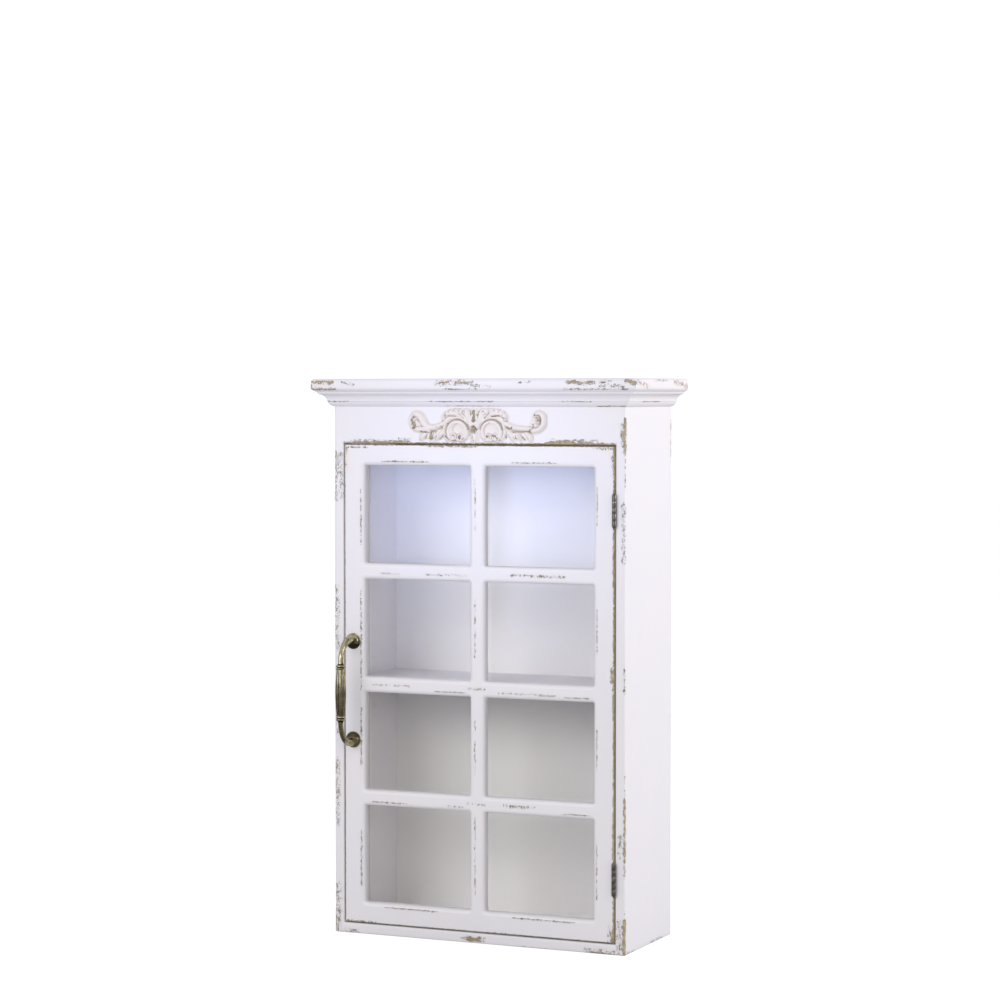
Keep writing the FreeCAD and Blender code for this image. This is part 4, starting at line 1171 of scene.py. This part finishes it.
door_low, door_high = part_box("door_stile_left")
door_high.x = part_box("door_stile_right")[1].x
light_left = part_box("door_stile_left")[1].x
light_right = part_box("door_stile_right")[0].x
light_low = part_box("door_rail_bottom")[1].z
light_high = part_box("door_rail_top")[0].z
glass_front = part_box("door_glass")[0].y
bar_low, bar_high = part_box("muntin_vertical")
bars_back = glass_front - glass_gap * mm
bar_names = ["muntin_lower", "muntin_middle", "muntin_upper"]
level_bars = [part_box(name) for name in bar_names]
pane_columns = [(light_left, bar_low.x), (bar_high.x, light_right)]
pane_sills = [light_low] + [high.z for low, high in level_bars]
pane_heads = [low.z for low, high in level_bars] + [light_high]
pane_rows = list(zip(pane_sills, pane_heads))
pane_margin = (pane_rounding + ridge_margin) * mm
score_slack = 0.1 * mm
outer_zone = 1 * mm
rim_angle = 60

door_edge = door_high.x / mm
door_top = door_high.z / mm
door_foot = door_low.z / mm
ridge_x = light_right / mm + pane_rounding
bar_ridge = bar_high.x / mm - pane_rounding
ridge_top = light_high / mm + pane_rounding
ridge_foot = light_low / mm - pane_rounding
lower_bar, middle_bar, upper_bar = [middle_of(name, 2) for name in bar_names]

# Rubbed places of the door; its narrow outer faces, with their middle at edge_y, are bare and painted pale,
# as painted light in the shaded gaps
edge_y = front + 6.2
door_wear_and_edge_light = upright(
    door_edge,
    (chipped, 0, door_top, -58, 1.6), (speckled, -2, -27, -62, 3), (chipped, 0, -136, -206, 1.5),
    (blushed, -1, -130, -215, 1.6), (chipped, -0.5, -304, -318, 3.2), (chipped, 0, -318, -348, 1.6),
    (speckled, -1, -346, -376, 2), (chipped, 0, -488, -550, 1.8), (chipped, -1, -632, door_foot, 3),
    (speckled, -5, -622, door_foot, 4),
)
door_wear_and_edge_light += upright(-door_edge, (speckled, 0, -200, -250, 1.6), (speckled, 0, -430, -470, 1.6))
door_wear_and_edge_light += upright(
    -ridge_x,
    (scratched, 0, -82, -155, 0.9), (scratched, 0, -213, -343, 0.9), (scratched, 0, -366, -440, 0.9),
    (scratched, 0, -525, -597, 0.9), (speckled, 0.6, -100, -150, 1.1), (speckled, 0.6, -240, -330, 1.1),
    (speckled, 0.6, -366, -440, 1.7), (speckled, 0.6, -525, -597, 1.6),
)
door_wear_and_edge_light += upright(
    ridge_x,
    (scratched, 0, -77, -123, 0.9), (scratched, 0, -229, -285, 0.9), (scratched, 0, -379, -429, 0.9),
    (scratched, 0, -523, -592, 0.9),
)
door_wear_and_edge_light += upright(
    -2.6,
    (speckled, 0, -69, -132, 1.5), (speckled, 0, -221, -294, 1.5), (speckled, 0, -374, -444, 1.5),
    (speckled, 0, -496, -598, 1.5),
)
door_wear_and_edge_light += upright(-184, (blushed, 0, -30, -58, 4), (speckled, -2.5, -27, -52, 2.4))
door_wear_and_edge_light += level(front, ridge_top, (scratched, -134, -68, 0, 0.9), (scratched, 49, 109, 0, 0.9))
door_wear_and_edge_light += level(front, ridge_foot, (scratched, -131, -52, 0, 0.9), (scratched, 49, 136, 0, 0.9))
door_wear_and_edge_light += level(
    front, upper_bar,
    (speckled, 48, 122, -1, 2.4), (scratched, 50, 76, 0, 0.9),
    (speckled, -137, -111, -2.5, 1.7), (speckled, -73, -16, -2.5, 1.7),
)
door_wear_and_edge_light += level(
    front, middle_bar,
    (speckled, -150, -96, 0, 1.6), (speckled, 30, 112, -3.5, 1.6), (scratched, 84, 108, -4.5, 0.9),
    (speckled, -12, 12, 0, 2.2), (scratched, -60, -16, -bar_ridge, 0.9),
    (scratched, 120, 155, -bar_ridge, 0.9),
)
door_wear_and_edge_light += level(
    front, lower_bar,
    (speckled, 38, 80, 0, 2.4), (scratched, 46, 66, 1, 0.9), (speckled, -40, -20, -4.5, 1.6),
    (speckled, -14, 12, 0, 2), (scratched, -150, -100, -bar_ridge, 0.9),
    (scratched, 120, 155, -bar_ridge, 0.9),
)
door_wear_and_edge_light += level(front, 0, (scratched, -184, -156, -28.5, 1), (speckled, 160, 187, -27.5, 2.6))
door_wear_and_edge_light += level(front, door_top, (scratched, -70, -2, -1.5, 1.2), (blushed, -70, 10, -3, 2.4))
door_wear_and_edge_light += level(front, door_foot, (scratched, -186, -144, 1, 1.2), (speckled, 20, 60, 0, 1.8))
door_wear_and_edge_light += [
    blushed((178, front, -30), (186, front, -40), 2.5),
    chipped(*across(-door_edge, door_edge, front + 1, door_top), 0.9),
    chipped(*down(door_edge, front + 0.5, door_top, door_foot), 1.3),
    stripped_with_painted_light(*across(-door_edge, door_edge, edge_y, door_top), 6.6),
    stripped_with_painted_light(*across(-door_edge, door_edge, edge_y, door_foot), 6.6),
    stripped_with_painted_light(*down(-door_edge, edge_y, door_top, door_foot), 6.6),
    stripped_with_painted_light(*down(door_edge, edge_y, door_top, door_foot), 6.8),
]


def shade_and_dirt_in_panes(places):
    """Painted shade and dirt that thicken towards the glass in the reveals of the panes."""
    depth = np.clip((places[:, 1] - front) / (glass_front / mm - front), 0, 1)
    within = np.abs(places[:, 0]) < light_right / mm + 1
    within &= places[:, 2] > light_low / mm - 1
    within &= places[:, 2] < light_high / mm + 1
    return reveal_shade_and_dirt * depth * within


def pane_sheet():
    """The door's front as a flat sheet: scored along the panes, divided, and cut out at the panes."""
    left, right, foot, top = door_low.x, door_high.x, door_low.z, door_high.z
    plan = [(left, foot), (right, foot), (right, top), (left, top)]
    piece = outline("door_frame", [Vector((x, door_low.y, z)) for x, z in plan])
    for axis, lines in ((0, pane_columns), (2, pane_rows)):
        normal = Vector((axis == 0, 0, axis == 2))
        for low, high in lines:
            for place in (low - pane_margin, low, high, high + pane_margin):
                score(piece, normal * place, normal)
    for axis, lines in ((0, pane_columns), (2, pane_rows)):
        for low, high in lines:
            divide(piece, axis, pane_step, lambda place: low < place[axis] < high)
        first, last = lines[0][0] - pane_margin, lines[-1][1] + pane_margin
        divide(piece, axis, mesh_step, lambda place: not first < place[axis] < last)

    def in_pane(face):
        x, y, z = face.center
        beside = any(low < x < high for low, high in pane_columns)
        return beside and any(low < z < high for low, high in pane_rows)

    edit(piece, "FACE", in_pane, bpy.ops.mesh.delete, type="FACE")
    return piece


def thicken_rim(piece):
    """Draws the stiles and rails back past the glazing bars to the door's full depth."""

    def is_rim(face):
        x, y, z = face.center
        beside = light_left - pane_margin < x < light_right + pane_margin
        within = light_low - pane_margin < z < light_high + pane_margin
        return near(y, bars_back) and not (beside and within)

    way = {"value": (0, door_high.y - bars_back, 0)}
    edit(piece, "FACE", is_rim, bpy.ops.mesh.extrude_region_move, TRANSFORM_OT_translate=way)


def round_pane_corners(piece):
    """Rounds the corners of the panes and clears the score lines that end on them."""

    def close_to_lines(edge, reach):
        place = midpoint(piece, edge)
        by_column = any(abs(place.x - x) < reach for line in pane_columns for x in line)
        return by_column and any(abs(place.z - z) < reach for line in pane_rows for z in line)

    def at_corner(edge):
        return length_along(piece, edge, 1) and close_to_lines(edge, touching)

    round_off(piece, [edge for edge in piece.data.edges if at_corner(edge)], pane_corner, 5)
    sides = {}
    for face in piece.data.polygons:
        if near(face.center.y, door_low.y):
            for key in face.edge_keys:
                sides[key] = sides.get(key, 0) + 1

    def is_spare(edge):
        return sides.get(edge.key) == 2 and close_to_lines(edge, pane_margin - score_slack)

    edit(piece, "EDGE", is_spare, bpy.ops.mesh.dissolve_edges, use_verts=True)


def round_rims(piece):
    """Rounds the front edges round the panes, and eases the door's outer edges."""

    def on_front(edge):
        return all(near(end.y, door_low.y) for end in ends(piece, edge))

    def is_outer(edge):
        x, y, z = midpoint(piece, edge)
        upright_edge = abs(x) > door_high.x - outer_zone
        return upright_edge or not door_low.z + outer_zone < z < door_high.z - outer_zone

    rims = [edge for edge in sharp_edges(piece, rim_angle) if on_front(edge) and not is_outer(edge)]
    round_off(piece, rims, pane_rounding, 5)
    outer = [edge for edge in sharp_edges(piece, rim_angle) if is_outer(edge)]
    round_off(piece, [edge for edge in outer if not length_along(piece, edge, 1)], door_arris)


def door_frame():
    """Stiles, rails and glazing bars as one routed frame with eight openings."""
    piece = pane_sheet()
    draw_out(piece, (0, bars_back - door_low.y, 0))
    thicken_rim(piece)
    round_pane_corners(piece)
    round_rims(piece)
    age_and_shade(smooth(piece), door_wear_and_edge_light, shade_and_dirt=shade_and_dirt_in_panes)
    return finish(
        piece, "door", "white_paint", paint_upright,
        "door_stile_left", "door_stile_right", "door_rail_top", "door_rail_bottom",
        "muntin_vertical", "muntin_upper", "muntin_middle", "muntin_lower",
    )


door_frame()
for place in ("left", "right", "top", "bottom"):
    low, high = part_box("glazing_bead_" + place)
    bead = board("bead_" + place + "_painted", low, high, bead_arris, pane_step)
    # The glazing beads are browned all over as painted shade.
    age_and_shade(bead, [], shade_and_dirt=bead_painted_shade)
    finish(bead, "door", "white_paint", paint_upright, "glazing_bead_" + place)


# Handle

rosette_low, rosette_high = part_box("handle_rosette_upper")
handle_x = middle_of("handle_rosette_upper", 0)
handle_middle = middle_of("handle_bow", 2)
foot_rise = middle_of("handle_rosette_upper", 2) - handle_middle
rosette_radius = (rosette_high.z - rosette_low.z) / 2 / mm
rosette_front = rosette_low.y / mm
grip_radius = 7.0
grip_end_radius = 4.9
grip_half = 30
grip_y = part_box("handle_bow")[0].y / mm + grip_radius
arm_radius = 3.2
foot_radius = 5.4
foot_lift = 2.4
rosette_painted_shade = 0.5
grip_painted_shade = 0.38
reed_count = 8
reed_depth = 0.17
reed_roundness = 0.42
reed_runout = 6
reed_step = 1.5
points_per_reed = 12
arm_steps = 18
arm_start = 1
foot_flare = 0.2
rosette_shade_fade = 4
bow_hollow = 0.12
rosette_hollow = 0.15

# The collar from the grip outwards: height over the handle's middle, and radius
collar = [
    (29.4, 4.2), (29.9, 5.4), (30.3, 6.2), (31, 6.6), (31.8, 6.4), (32.2, 5.6), (32.5, 4.6), (33.1, 4.6),
    (33.4, 5.4), (33.8, 6), (34.5, 6.2), (35.2, 5.9), (35.6, 5), (36, 4), (37.6, 3.5),
]

# The rosette from the door outwards: share of its depth, and share of its radius
rosette_profile = [
    (0, 0.94), (0.06, 1), (0.2, 1), (0.28, 0.96), (0.3, 0.88), (0.36, 0.84), (0.44, 0.86),
    (0.56, 0.82), (0.7, 0.7), (0.82, 0.56), (0.92, 0.44), (1, 0.35),
]


def reeded_grip():
    """The barrel of the handle with its lengthwise reeds."""
    clear_selection()
    bpy.ops.mesh.primitive_cylinder_add(
        vertices=points_per_reed * reed_count, radius=grip_radius * mm, depth=2 * grip_half * mm,
        location=Vector((handle_x, grip_y, handle_middle)) * mm,
    )
    piece = named("grip")
    divide(piece, 2, reed_step)
    for vertex in piece.data.vertices:
        x = vertex.co.x / mm - handle_x
        y = vertex.co.y / mm - grip_y
        share = (vertex.co.z / mm - handle_middle) / grip_half
        turn = math.atan2(y, x)
        swell = grip_end_radius + (grip_radius - grip_end_radius) * (1 - share * share)
        reed = abs(math.sin(turn * reed_count / 2)) ** reed_roundness
        depth = reed_depth * min(1, reed_runout * (1 - abs(share)))
        radius = swell * (1 - depth * (1 - reed))
        vertex.co.x = (handle_x + radius * math.cos(turn)) * mm
        vertex.co.y = (grip_y + radius * math.sin(turn)) * mm
    return piece


def handle_arm(side):
    """A ringed collar, a swept arm and its foot, from the grip to the rosette."""
    rise = foot_rise + foot_lift
    bend = rise - (collar[-1][0] + arm_start)
    places = [(handle_x, grip_y, handle_middle + side * up, radius) for up, radius in collar]
    for step in range(arm_steps + 1):
        turn = math.pi / 2 * step / arm_steps
        up = rise - bend + bend * math.sin(turn)
        out = grip_y + bend * (1 - math.cos(turn))
        swell = arm_radius + (foot_radius - arm_radius) * math.sin(turn) ** 4
        places.append((handle_x, out, handle_middle + side * up, swell))
    places.append((handle_x, rosette_front, handle_middle + side * rise, foot_radius + foot_flare))
    return bar("arm", places, 24)


def handle_bow():
    """Grip and arms as one casting, with patina in its hollows; the lower half of the grip is painted darker
    as painted shade.
    """
    piece = unite("handle_bow_cast", [reeded_grip(), handle_arm(1), handle_arm(-1)])
    below = handle_middle - read(piece.data.vertices, "co", 3)[:, 2] / mm
    lower_grip = np.clip(below / grip_half, 0, 1) * (below < grip_half)
    shade_and_dirt = np.maximum(np.clip(hollows(piece, 6) / bow_hollow, 0, 1), grip_painted_shade * lower_grip)
    age_and_shade(smooth(piece, 50), [], shade_and_dirt=shade_and_dirt)
    return finish(piece, "door", "antique_brass", brass, "handle_bow")


def rosette(place, side):
    """A turned, stepped rosette with patina in its hollows; its half between the feet is painted dark brown
    as painted shade.
    """
    foot = middle_of("handle_rosette_" + place, 2)
    depth = front - rosette_front
    places = []
    for rise, share in rosette_profile:
        places.append((handle_x, front - depth * rise, foot, rosette_radius * share))
    piece = bar("rosette_" + place + "_turned", places, 40)
    inner = np.clip(side * (foot - read(piece.data.vertices, "co", 3)[:, 2] / mm) / rosette_shade_fade, 0, 1)
    shade_and_dirt = np.maximum(np.clip(hollows(piece, 3) / rosette_hollow, 0, 1), rosette_painted_shade * inner)
    age_and_shade(smooth(piece, 50), [], shade_and_dirt=shade_and_dirt)
    return finish(piece, "door", "antique_brass", brass, "handle_rosette_" + place)


handle_bow()
rosette("upper", 1)
rosette("lower", -1)


# Small metal and hidden boards: copies of the solids with their edges eased

def eased(node, body, slot, material, width):
    """A merged copy of a solid with its sharp edges rounded off."""
    piece = placed(node + "_eased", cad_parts[node].data.copy())
    pick_all(piece)
    bpy.ops.mesh.remove_doubles(threshold=merge_gap * mm)
    bpy.ops.mesh.dissolve_limited(angle_limit=math.radians(1))
    leave(piece)
    settings = {"width": width * mm, "segments": 2, "limit_method": "ANGLE", "angle_limit": math.radians(40)}
    apply_modifier(piece, "ease", "BEVEL", **settings)
    return finish(smooth(piece, 45), body, slot, material, node)


for place in ("upper", "lower"):
    eased("hinge_" + place + "_frame_leaf", "carcass", "dark_iron", iron, 0.22)
    eased("hinge_" + place + "_pin", "carcass", "dark_iron", iron, 0.3)
    eased("hinge_" + place + "_door_leaf", "door", "dark_iron", iron, 0.22)
for place in ("left", "right"):
    eased("hanger_plate_" + place, "carcass", "zinc_steel", zinc, 0.4)
eased("strike_plate", "door", "zinc_steel", zinc, 0.3)
eased("catch_housing", "carcass", "catch_plastic", plastic, 0.7)
eased("catch_magnet", "carcass", "magnet", ferrite, 0.4)
eased("hanging_rail", "carcass", "bare_wood", pine, 1.2)
eased("handle_screws", "door", "antique_brass", brass, 0.25)


# Screws: countersunk, threaded, with crossed slots

screw_head_share = 1.9
screw_sink_share = 1.1
slot_reach_share = 0.6
slot_half_share = 0.16
thread_depth_share = 0.72
thread_pitch_share = 0.9
head_rim_share = 0.12
slot_depth_share = 0.8
point_share = 0.15
screw_reach = 10


def turned_screw(shank, length):
    """One screw at the origin: its head's face on the XZ plane, its point along Y."""
    head = screw_head_share * shank
    sink = screw_sink_share * shank
    profile = [(0, head), (head_rim_share * sink, head), (sink, shank)]
    pitch = thread_pitch_share * shank
    turns = int((length - sink - 2 * shank) / pitch)
    for turn in range(turns):
        crest = sink + (turn + 1) * pitch
        profile += [(crest - pitch / 2, thread_depth_share * shank), (crest, shank)]
    profile.append((length, point_share * shank))
    piece = bar("screw", [(0, depth, 0, radius) for depth, radius in profile], 20)
    reach, half = slot_reach_share * head, slot_half_share * head
    for x, z in ((reach, half), (half, reach)):
        corner = Vector((x, slot_depth_share * sink, z)) * mm
        cutter = block("slot", -corner, corner)
        apply_modifier(piece, "slot", "BOOLEAN", object=cutter, operation="DIFFERENCE", solver="EXACT")
        bpy.data.objects.remove(cutter)
    return piece


def screw_places(node, axis, sign, head, rows):
    """The places of a node's screw heads: at the corners of its box, or in the rows given."""
    low, high = (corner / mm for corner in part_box(node))
    choices = []
    for each in range(3):
        if each == axis:
            choices.append([low[each] if sign > 0 else high[each]])
        elif each == 2 and rows:
            choices.append(rows)
        elif high[each] - low[each] < 3 * head:
            choices.append([(low[each] + high[each]) / 2])
        else:
            choices.append([low[each] + head, high[each] - head])
    return [Vector((x, y, z)) for x in choices[0] for y in choices[1] for z in choices[2]]


def screws(node, body, slot, material, axis, sign, shank, rows=()):
    """All the screws of one node, driven along an axis."""
    low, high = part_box(node)
    model = turned_screw(shank, (high[axis] - low[axis]) / mm)
    way = Vector([sign * (each == axis) for each in range(3)])
    turn = Vector((0, 1, 0)).rotation_difference(way).to_matrix().to_4x4()
    driven = []
    for place in screw_places(node, axis, sign, screw_head_share * shank, rows):
        copy = placed("screw", model.data.copy())
        copy.data.transform(Matrix.Translation(place * mm) @ turn)
        driven.append(copy)
    bpy.data.objects.remove(model)
    piece = unite(node + "_turned", driven)
    return finish(smooth(piece, 30), body, slot, material, node)


hinge_rows = []
for place in ("upper", "lower"):
    middle = middle_of("hinge_" + place + "_frame_leaf", 2)
    hinge_rows += [middle - screw_reach, middle + screw_reach]
screws("hinge_frame_screws", "carcass", "dark_iron", iron, 0, 1, 1.1, hinge_rows)
screws("hinge_door_screws", "door", "dark_iron", iron, 0, -1, 1.1, hinge_rows)
screws("hanger_screws", "carcass", "zinc_steel", zinc, 1, -1, 1.5)
screws("cap_screws", "carcass", "zinc_steel", zinc, 2, 1, 1.75)
screws("catch_screws", "carcass", "zinc_steel", zinc, 0, -1, 1.25)
screws("strike_screw", "door", "zinc_steel", zinc, 1, -1, 1.25)


# Solids whose shape is right keep it and take a finish

carried_over = {
    paint_level: ["top_board"],
    painted_back: ["back_panel"],
    pine: ["carcass_dowels"],
    glass: ["door_glass"],
    zinc: ["back_panel_nails", "glazing_pins"],
}
for material, nodes in carried_over.items():
    for node in nodes:
        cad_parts[node].data.materials.clear()
        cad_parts[node].data.materials.append(material)


# Stage

floor_size = 30
floor_glow = 0.66
flag_height = 2.6
room_light = 0.595
room_seen = 1.2
camera_place = (1.5274, -3.4793, 0.0404)
camera_tilt = 87.892
camera_turn = 24.2475
camera_lens = 103.805
camera_film = 36


def lamp(name, kind, place, target, power, colour, **settings):
    """A lamp that looks at a point and that the camera doesn't see."""
    light = placed(name, bpy.data.lights.new(name, kind))
    light.data.energy = power
    light.data.color = colour
    for key, value in settings.items():
        setattr(light.data, key, value)
    light.location = place
    light.rotation_euler = (Vector(target) - Vector(place)).to_track_quat("-Z", "Y").to_euler()
    light.visible_camera = False
    return light


def soft_box(name, place, target, width, height, power, colour):
    """A lamp behind a white sheet."""
    lamp(name, "AREA", place, target, power, colour, shape="RECTANGLE", size=width, size_y=height)


def sky_spot():
    """A pale blue round lamp on the upper panes that fades out towards the rim of its cone."""
    cone = {"spot_size": math.radians(18.5), "spot_blend": 1, "shadow_soft_size": 0.15}
    light = lamp("sky_spot", "SPOT", (0.45, -1.75, -0.1), (-0.01, -0.1, -0.05), 29, (0.55, 0.64, 1), **cone)
    light.visible_glossy = False


def seen_by_camera(tree):
    """One for what the camera sees, also through glass, and zero for light that bounces."""
    path = tree.nodes.new("ShaderNodeLightPath").outputs
    bounces = reckon(tree, "ADD", path["Diffuse Depth"], path["Glossy Depth"])
    return reckon(tree, "LESS_THAN", bounces, 0.5)


def pale_floor():
    """A floor that looks nearly white, throws light back up and stays dark in polished metal."""
    clear_selection()
    bpy.ops.mesh.primitive_plane_add(size=floor_size, location=(0, 0, cad_low.z))
    floor = named("floor")
    material, tree, shader = new_finish("pale_floor")
    mirrored_floor = tree.nodes.new("ShaderNodeLightPath").outputs["Glossy Depth"]
    mottle = grain(tree, 3, 2)
    pale = shade(tree, mottle, (0.60, 0.60, 0.60), (0.62, 0.62, 0.62))
    pale = shade(tree, mirrored_floor, pale, (0.12, 0.11, 0.10))
    tree.links.new(pale, shader.inputs["Base Color"])
    shader.inputs["Roughness"].default_value = 0.9
    shader.inputs["Emission Color"].default_value = (1, 1, 1, 1)
    glow = ramp(tree, seen_by_camera(tree), 0, 1, 0, floor_glow)
    tree.links.new(glow, shader.inputs["Emission Strength"])
    floor.data.materials.append(material)


def gloss_card(name, place, turn, width, height):
    """An upright card that only polished metal and glass see."""
    clear_selection()
    bpy.ops.mesh.primitive_plane_add(size=1, location=place, rotation=(math.pi / 2, 0, turn))
    bpy.context.object.scale = (width, height, 1)
    card = named(name)
    card.visible_camera = False
    card.visible_diffuse = False
    card.visible_shadow = False
    card.visible_transmission = False
    return card


def dark_flags():
    """Black cards behind the camera and to its right."""
    material, tree, shader = new_finish("black_card")
    mottle = grain(tree, 5, 2)
    tree.links.new(shade(tree, mottle, (0.01, 0.01, 0.01), (0.02, 0.02, 0.02)), shader.inputs["Base Color"])
    for name, place, turn, width in (
        ("flag_behind", (0.9, -4.2, 0.1), 0, 3.4),
        ("flag_right", (3.4, -2.4, 0.1), math.radians(60), 3.4),
    ):
        gloss_card(name, place, turn, width, flag_height).data.materials.append(material)


def window_card():
    """A pale blue window whose reflection lies on the upper panes, brighter to the right and below."""
    low, high, left, right = -0.328, 0.24, -1.32, -0.56
    place = ((left + right) / 2, -2.2, (low + high) / 2)
    card = gloss_card("window_card", place, 0, right - left, high - low)
    material, tree, shader = new_finish("window_sky")
    split = tree.nodes.new("ShaderNodeSeparateXYZ")
    tree.links.new(tree.nodes.new("ShaderNodeTexCoord").outputs["Object"], split.inputs[0])
    glow = ramp(tree, split.outputs[0], left, right, 3.2, 4.2)
    glow = reckon(tree, "MULTIPLY", glow, ramp(tree, split.outputs[2], low, 0.0, 0.9, 1.1))
    shader.inputs["Base Color"].default_value = (0, 0, 0, 1)
    shader.inputs["Emission Color"].default_value = (0.5, 0.58, 1.0, 1)
    tree.links.new(glow, shader.inputs["Emission Strength"])
    material.cycles.emission_sampling = "NONE"
    card.data.materials.append(material)


def white_room():
    """A white room all round, brighter than it looks."""
    world = bpy.data.worlds.new("white_room")
    bpy.context.scene.world = world
    world.use_nodes = True
    tree = world.node_tree
    background = tree.nodes["Background"]
    background.inputs["Color"].default_value = (0.965, 0.96, 1.0, 1)
    strength = ramp(tree, seen_by_camera(tree), 0, 1, room_light, room_seen)
    tree.links.new(strength, background.inputs["Strength"])


def viewpoint():
    """The camera at the photograph's place."""
    camera = placed("camera", bpy.data.cameras.new("camera"))
    camera.location = camera_place
    camera.rotation_euler = (math.radians(camera_tilt), 0, math.radians(camera_turn))
    camera.data.lens = camera_lens
    camera.data.sensor_width = camera_film
    bpy.context.scene.camera = camera
    bpy.context.scene.view_settings.view_transform = "Standard"


pale_floor()
dark_flags()
window_card()
white_room()
soft_box("key_box", (-0.6, -2.3, 0.5), (0.0, -0.1, -0.25), 1.2, 0.9, 14, (1.0, 0.985, 0.985))
soft_box("fill_box", (1.6, -2.4, 0.25), (-0.1, -0.1, -0.35), 1.2, 1.2, 8.5, (1.0, 0.94, 0.85))
soft_box("side_box", (2.2, 0.3, 0.6), (0.2, -0.1, -0.15), 1.0, 1.4, 24, (1.0, 0.98, 0.99))
sky_spot()
viewpoint()
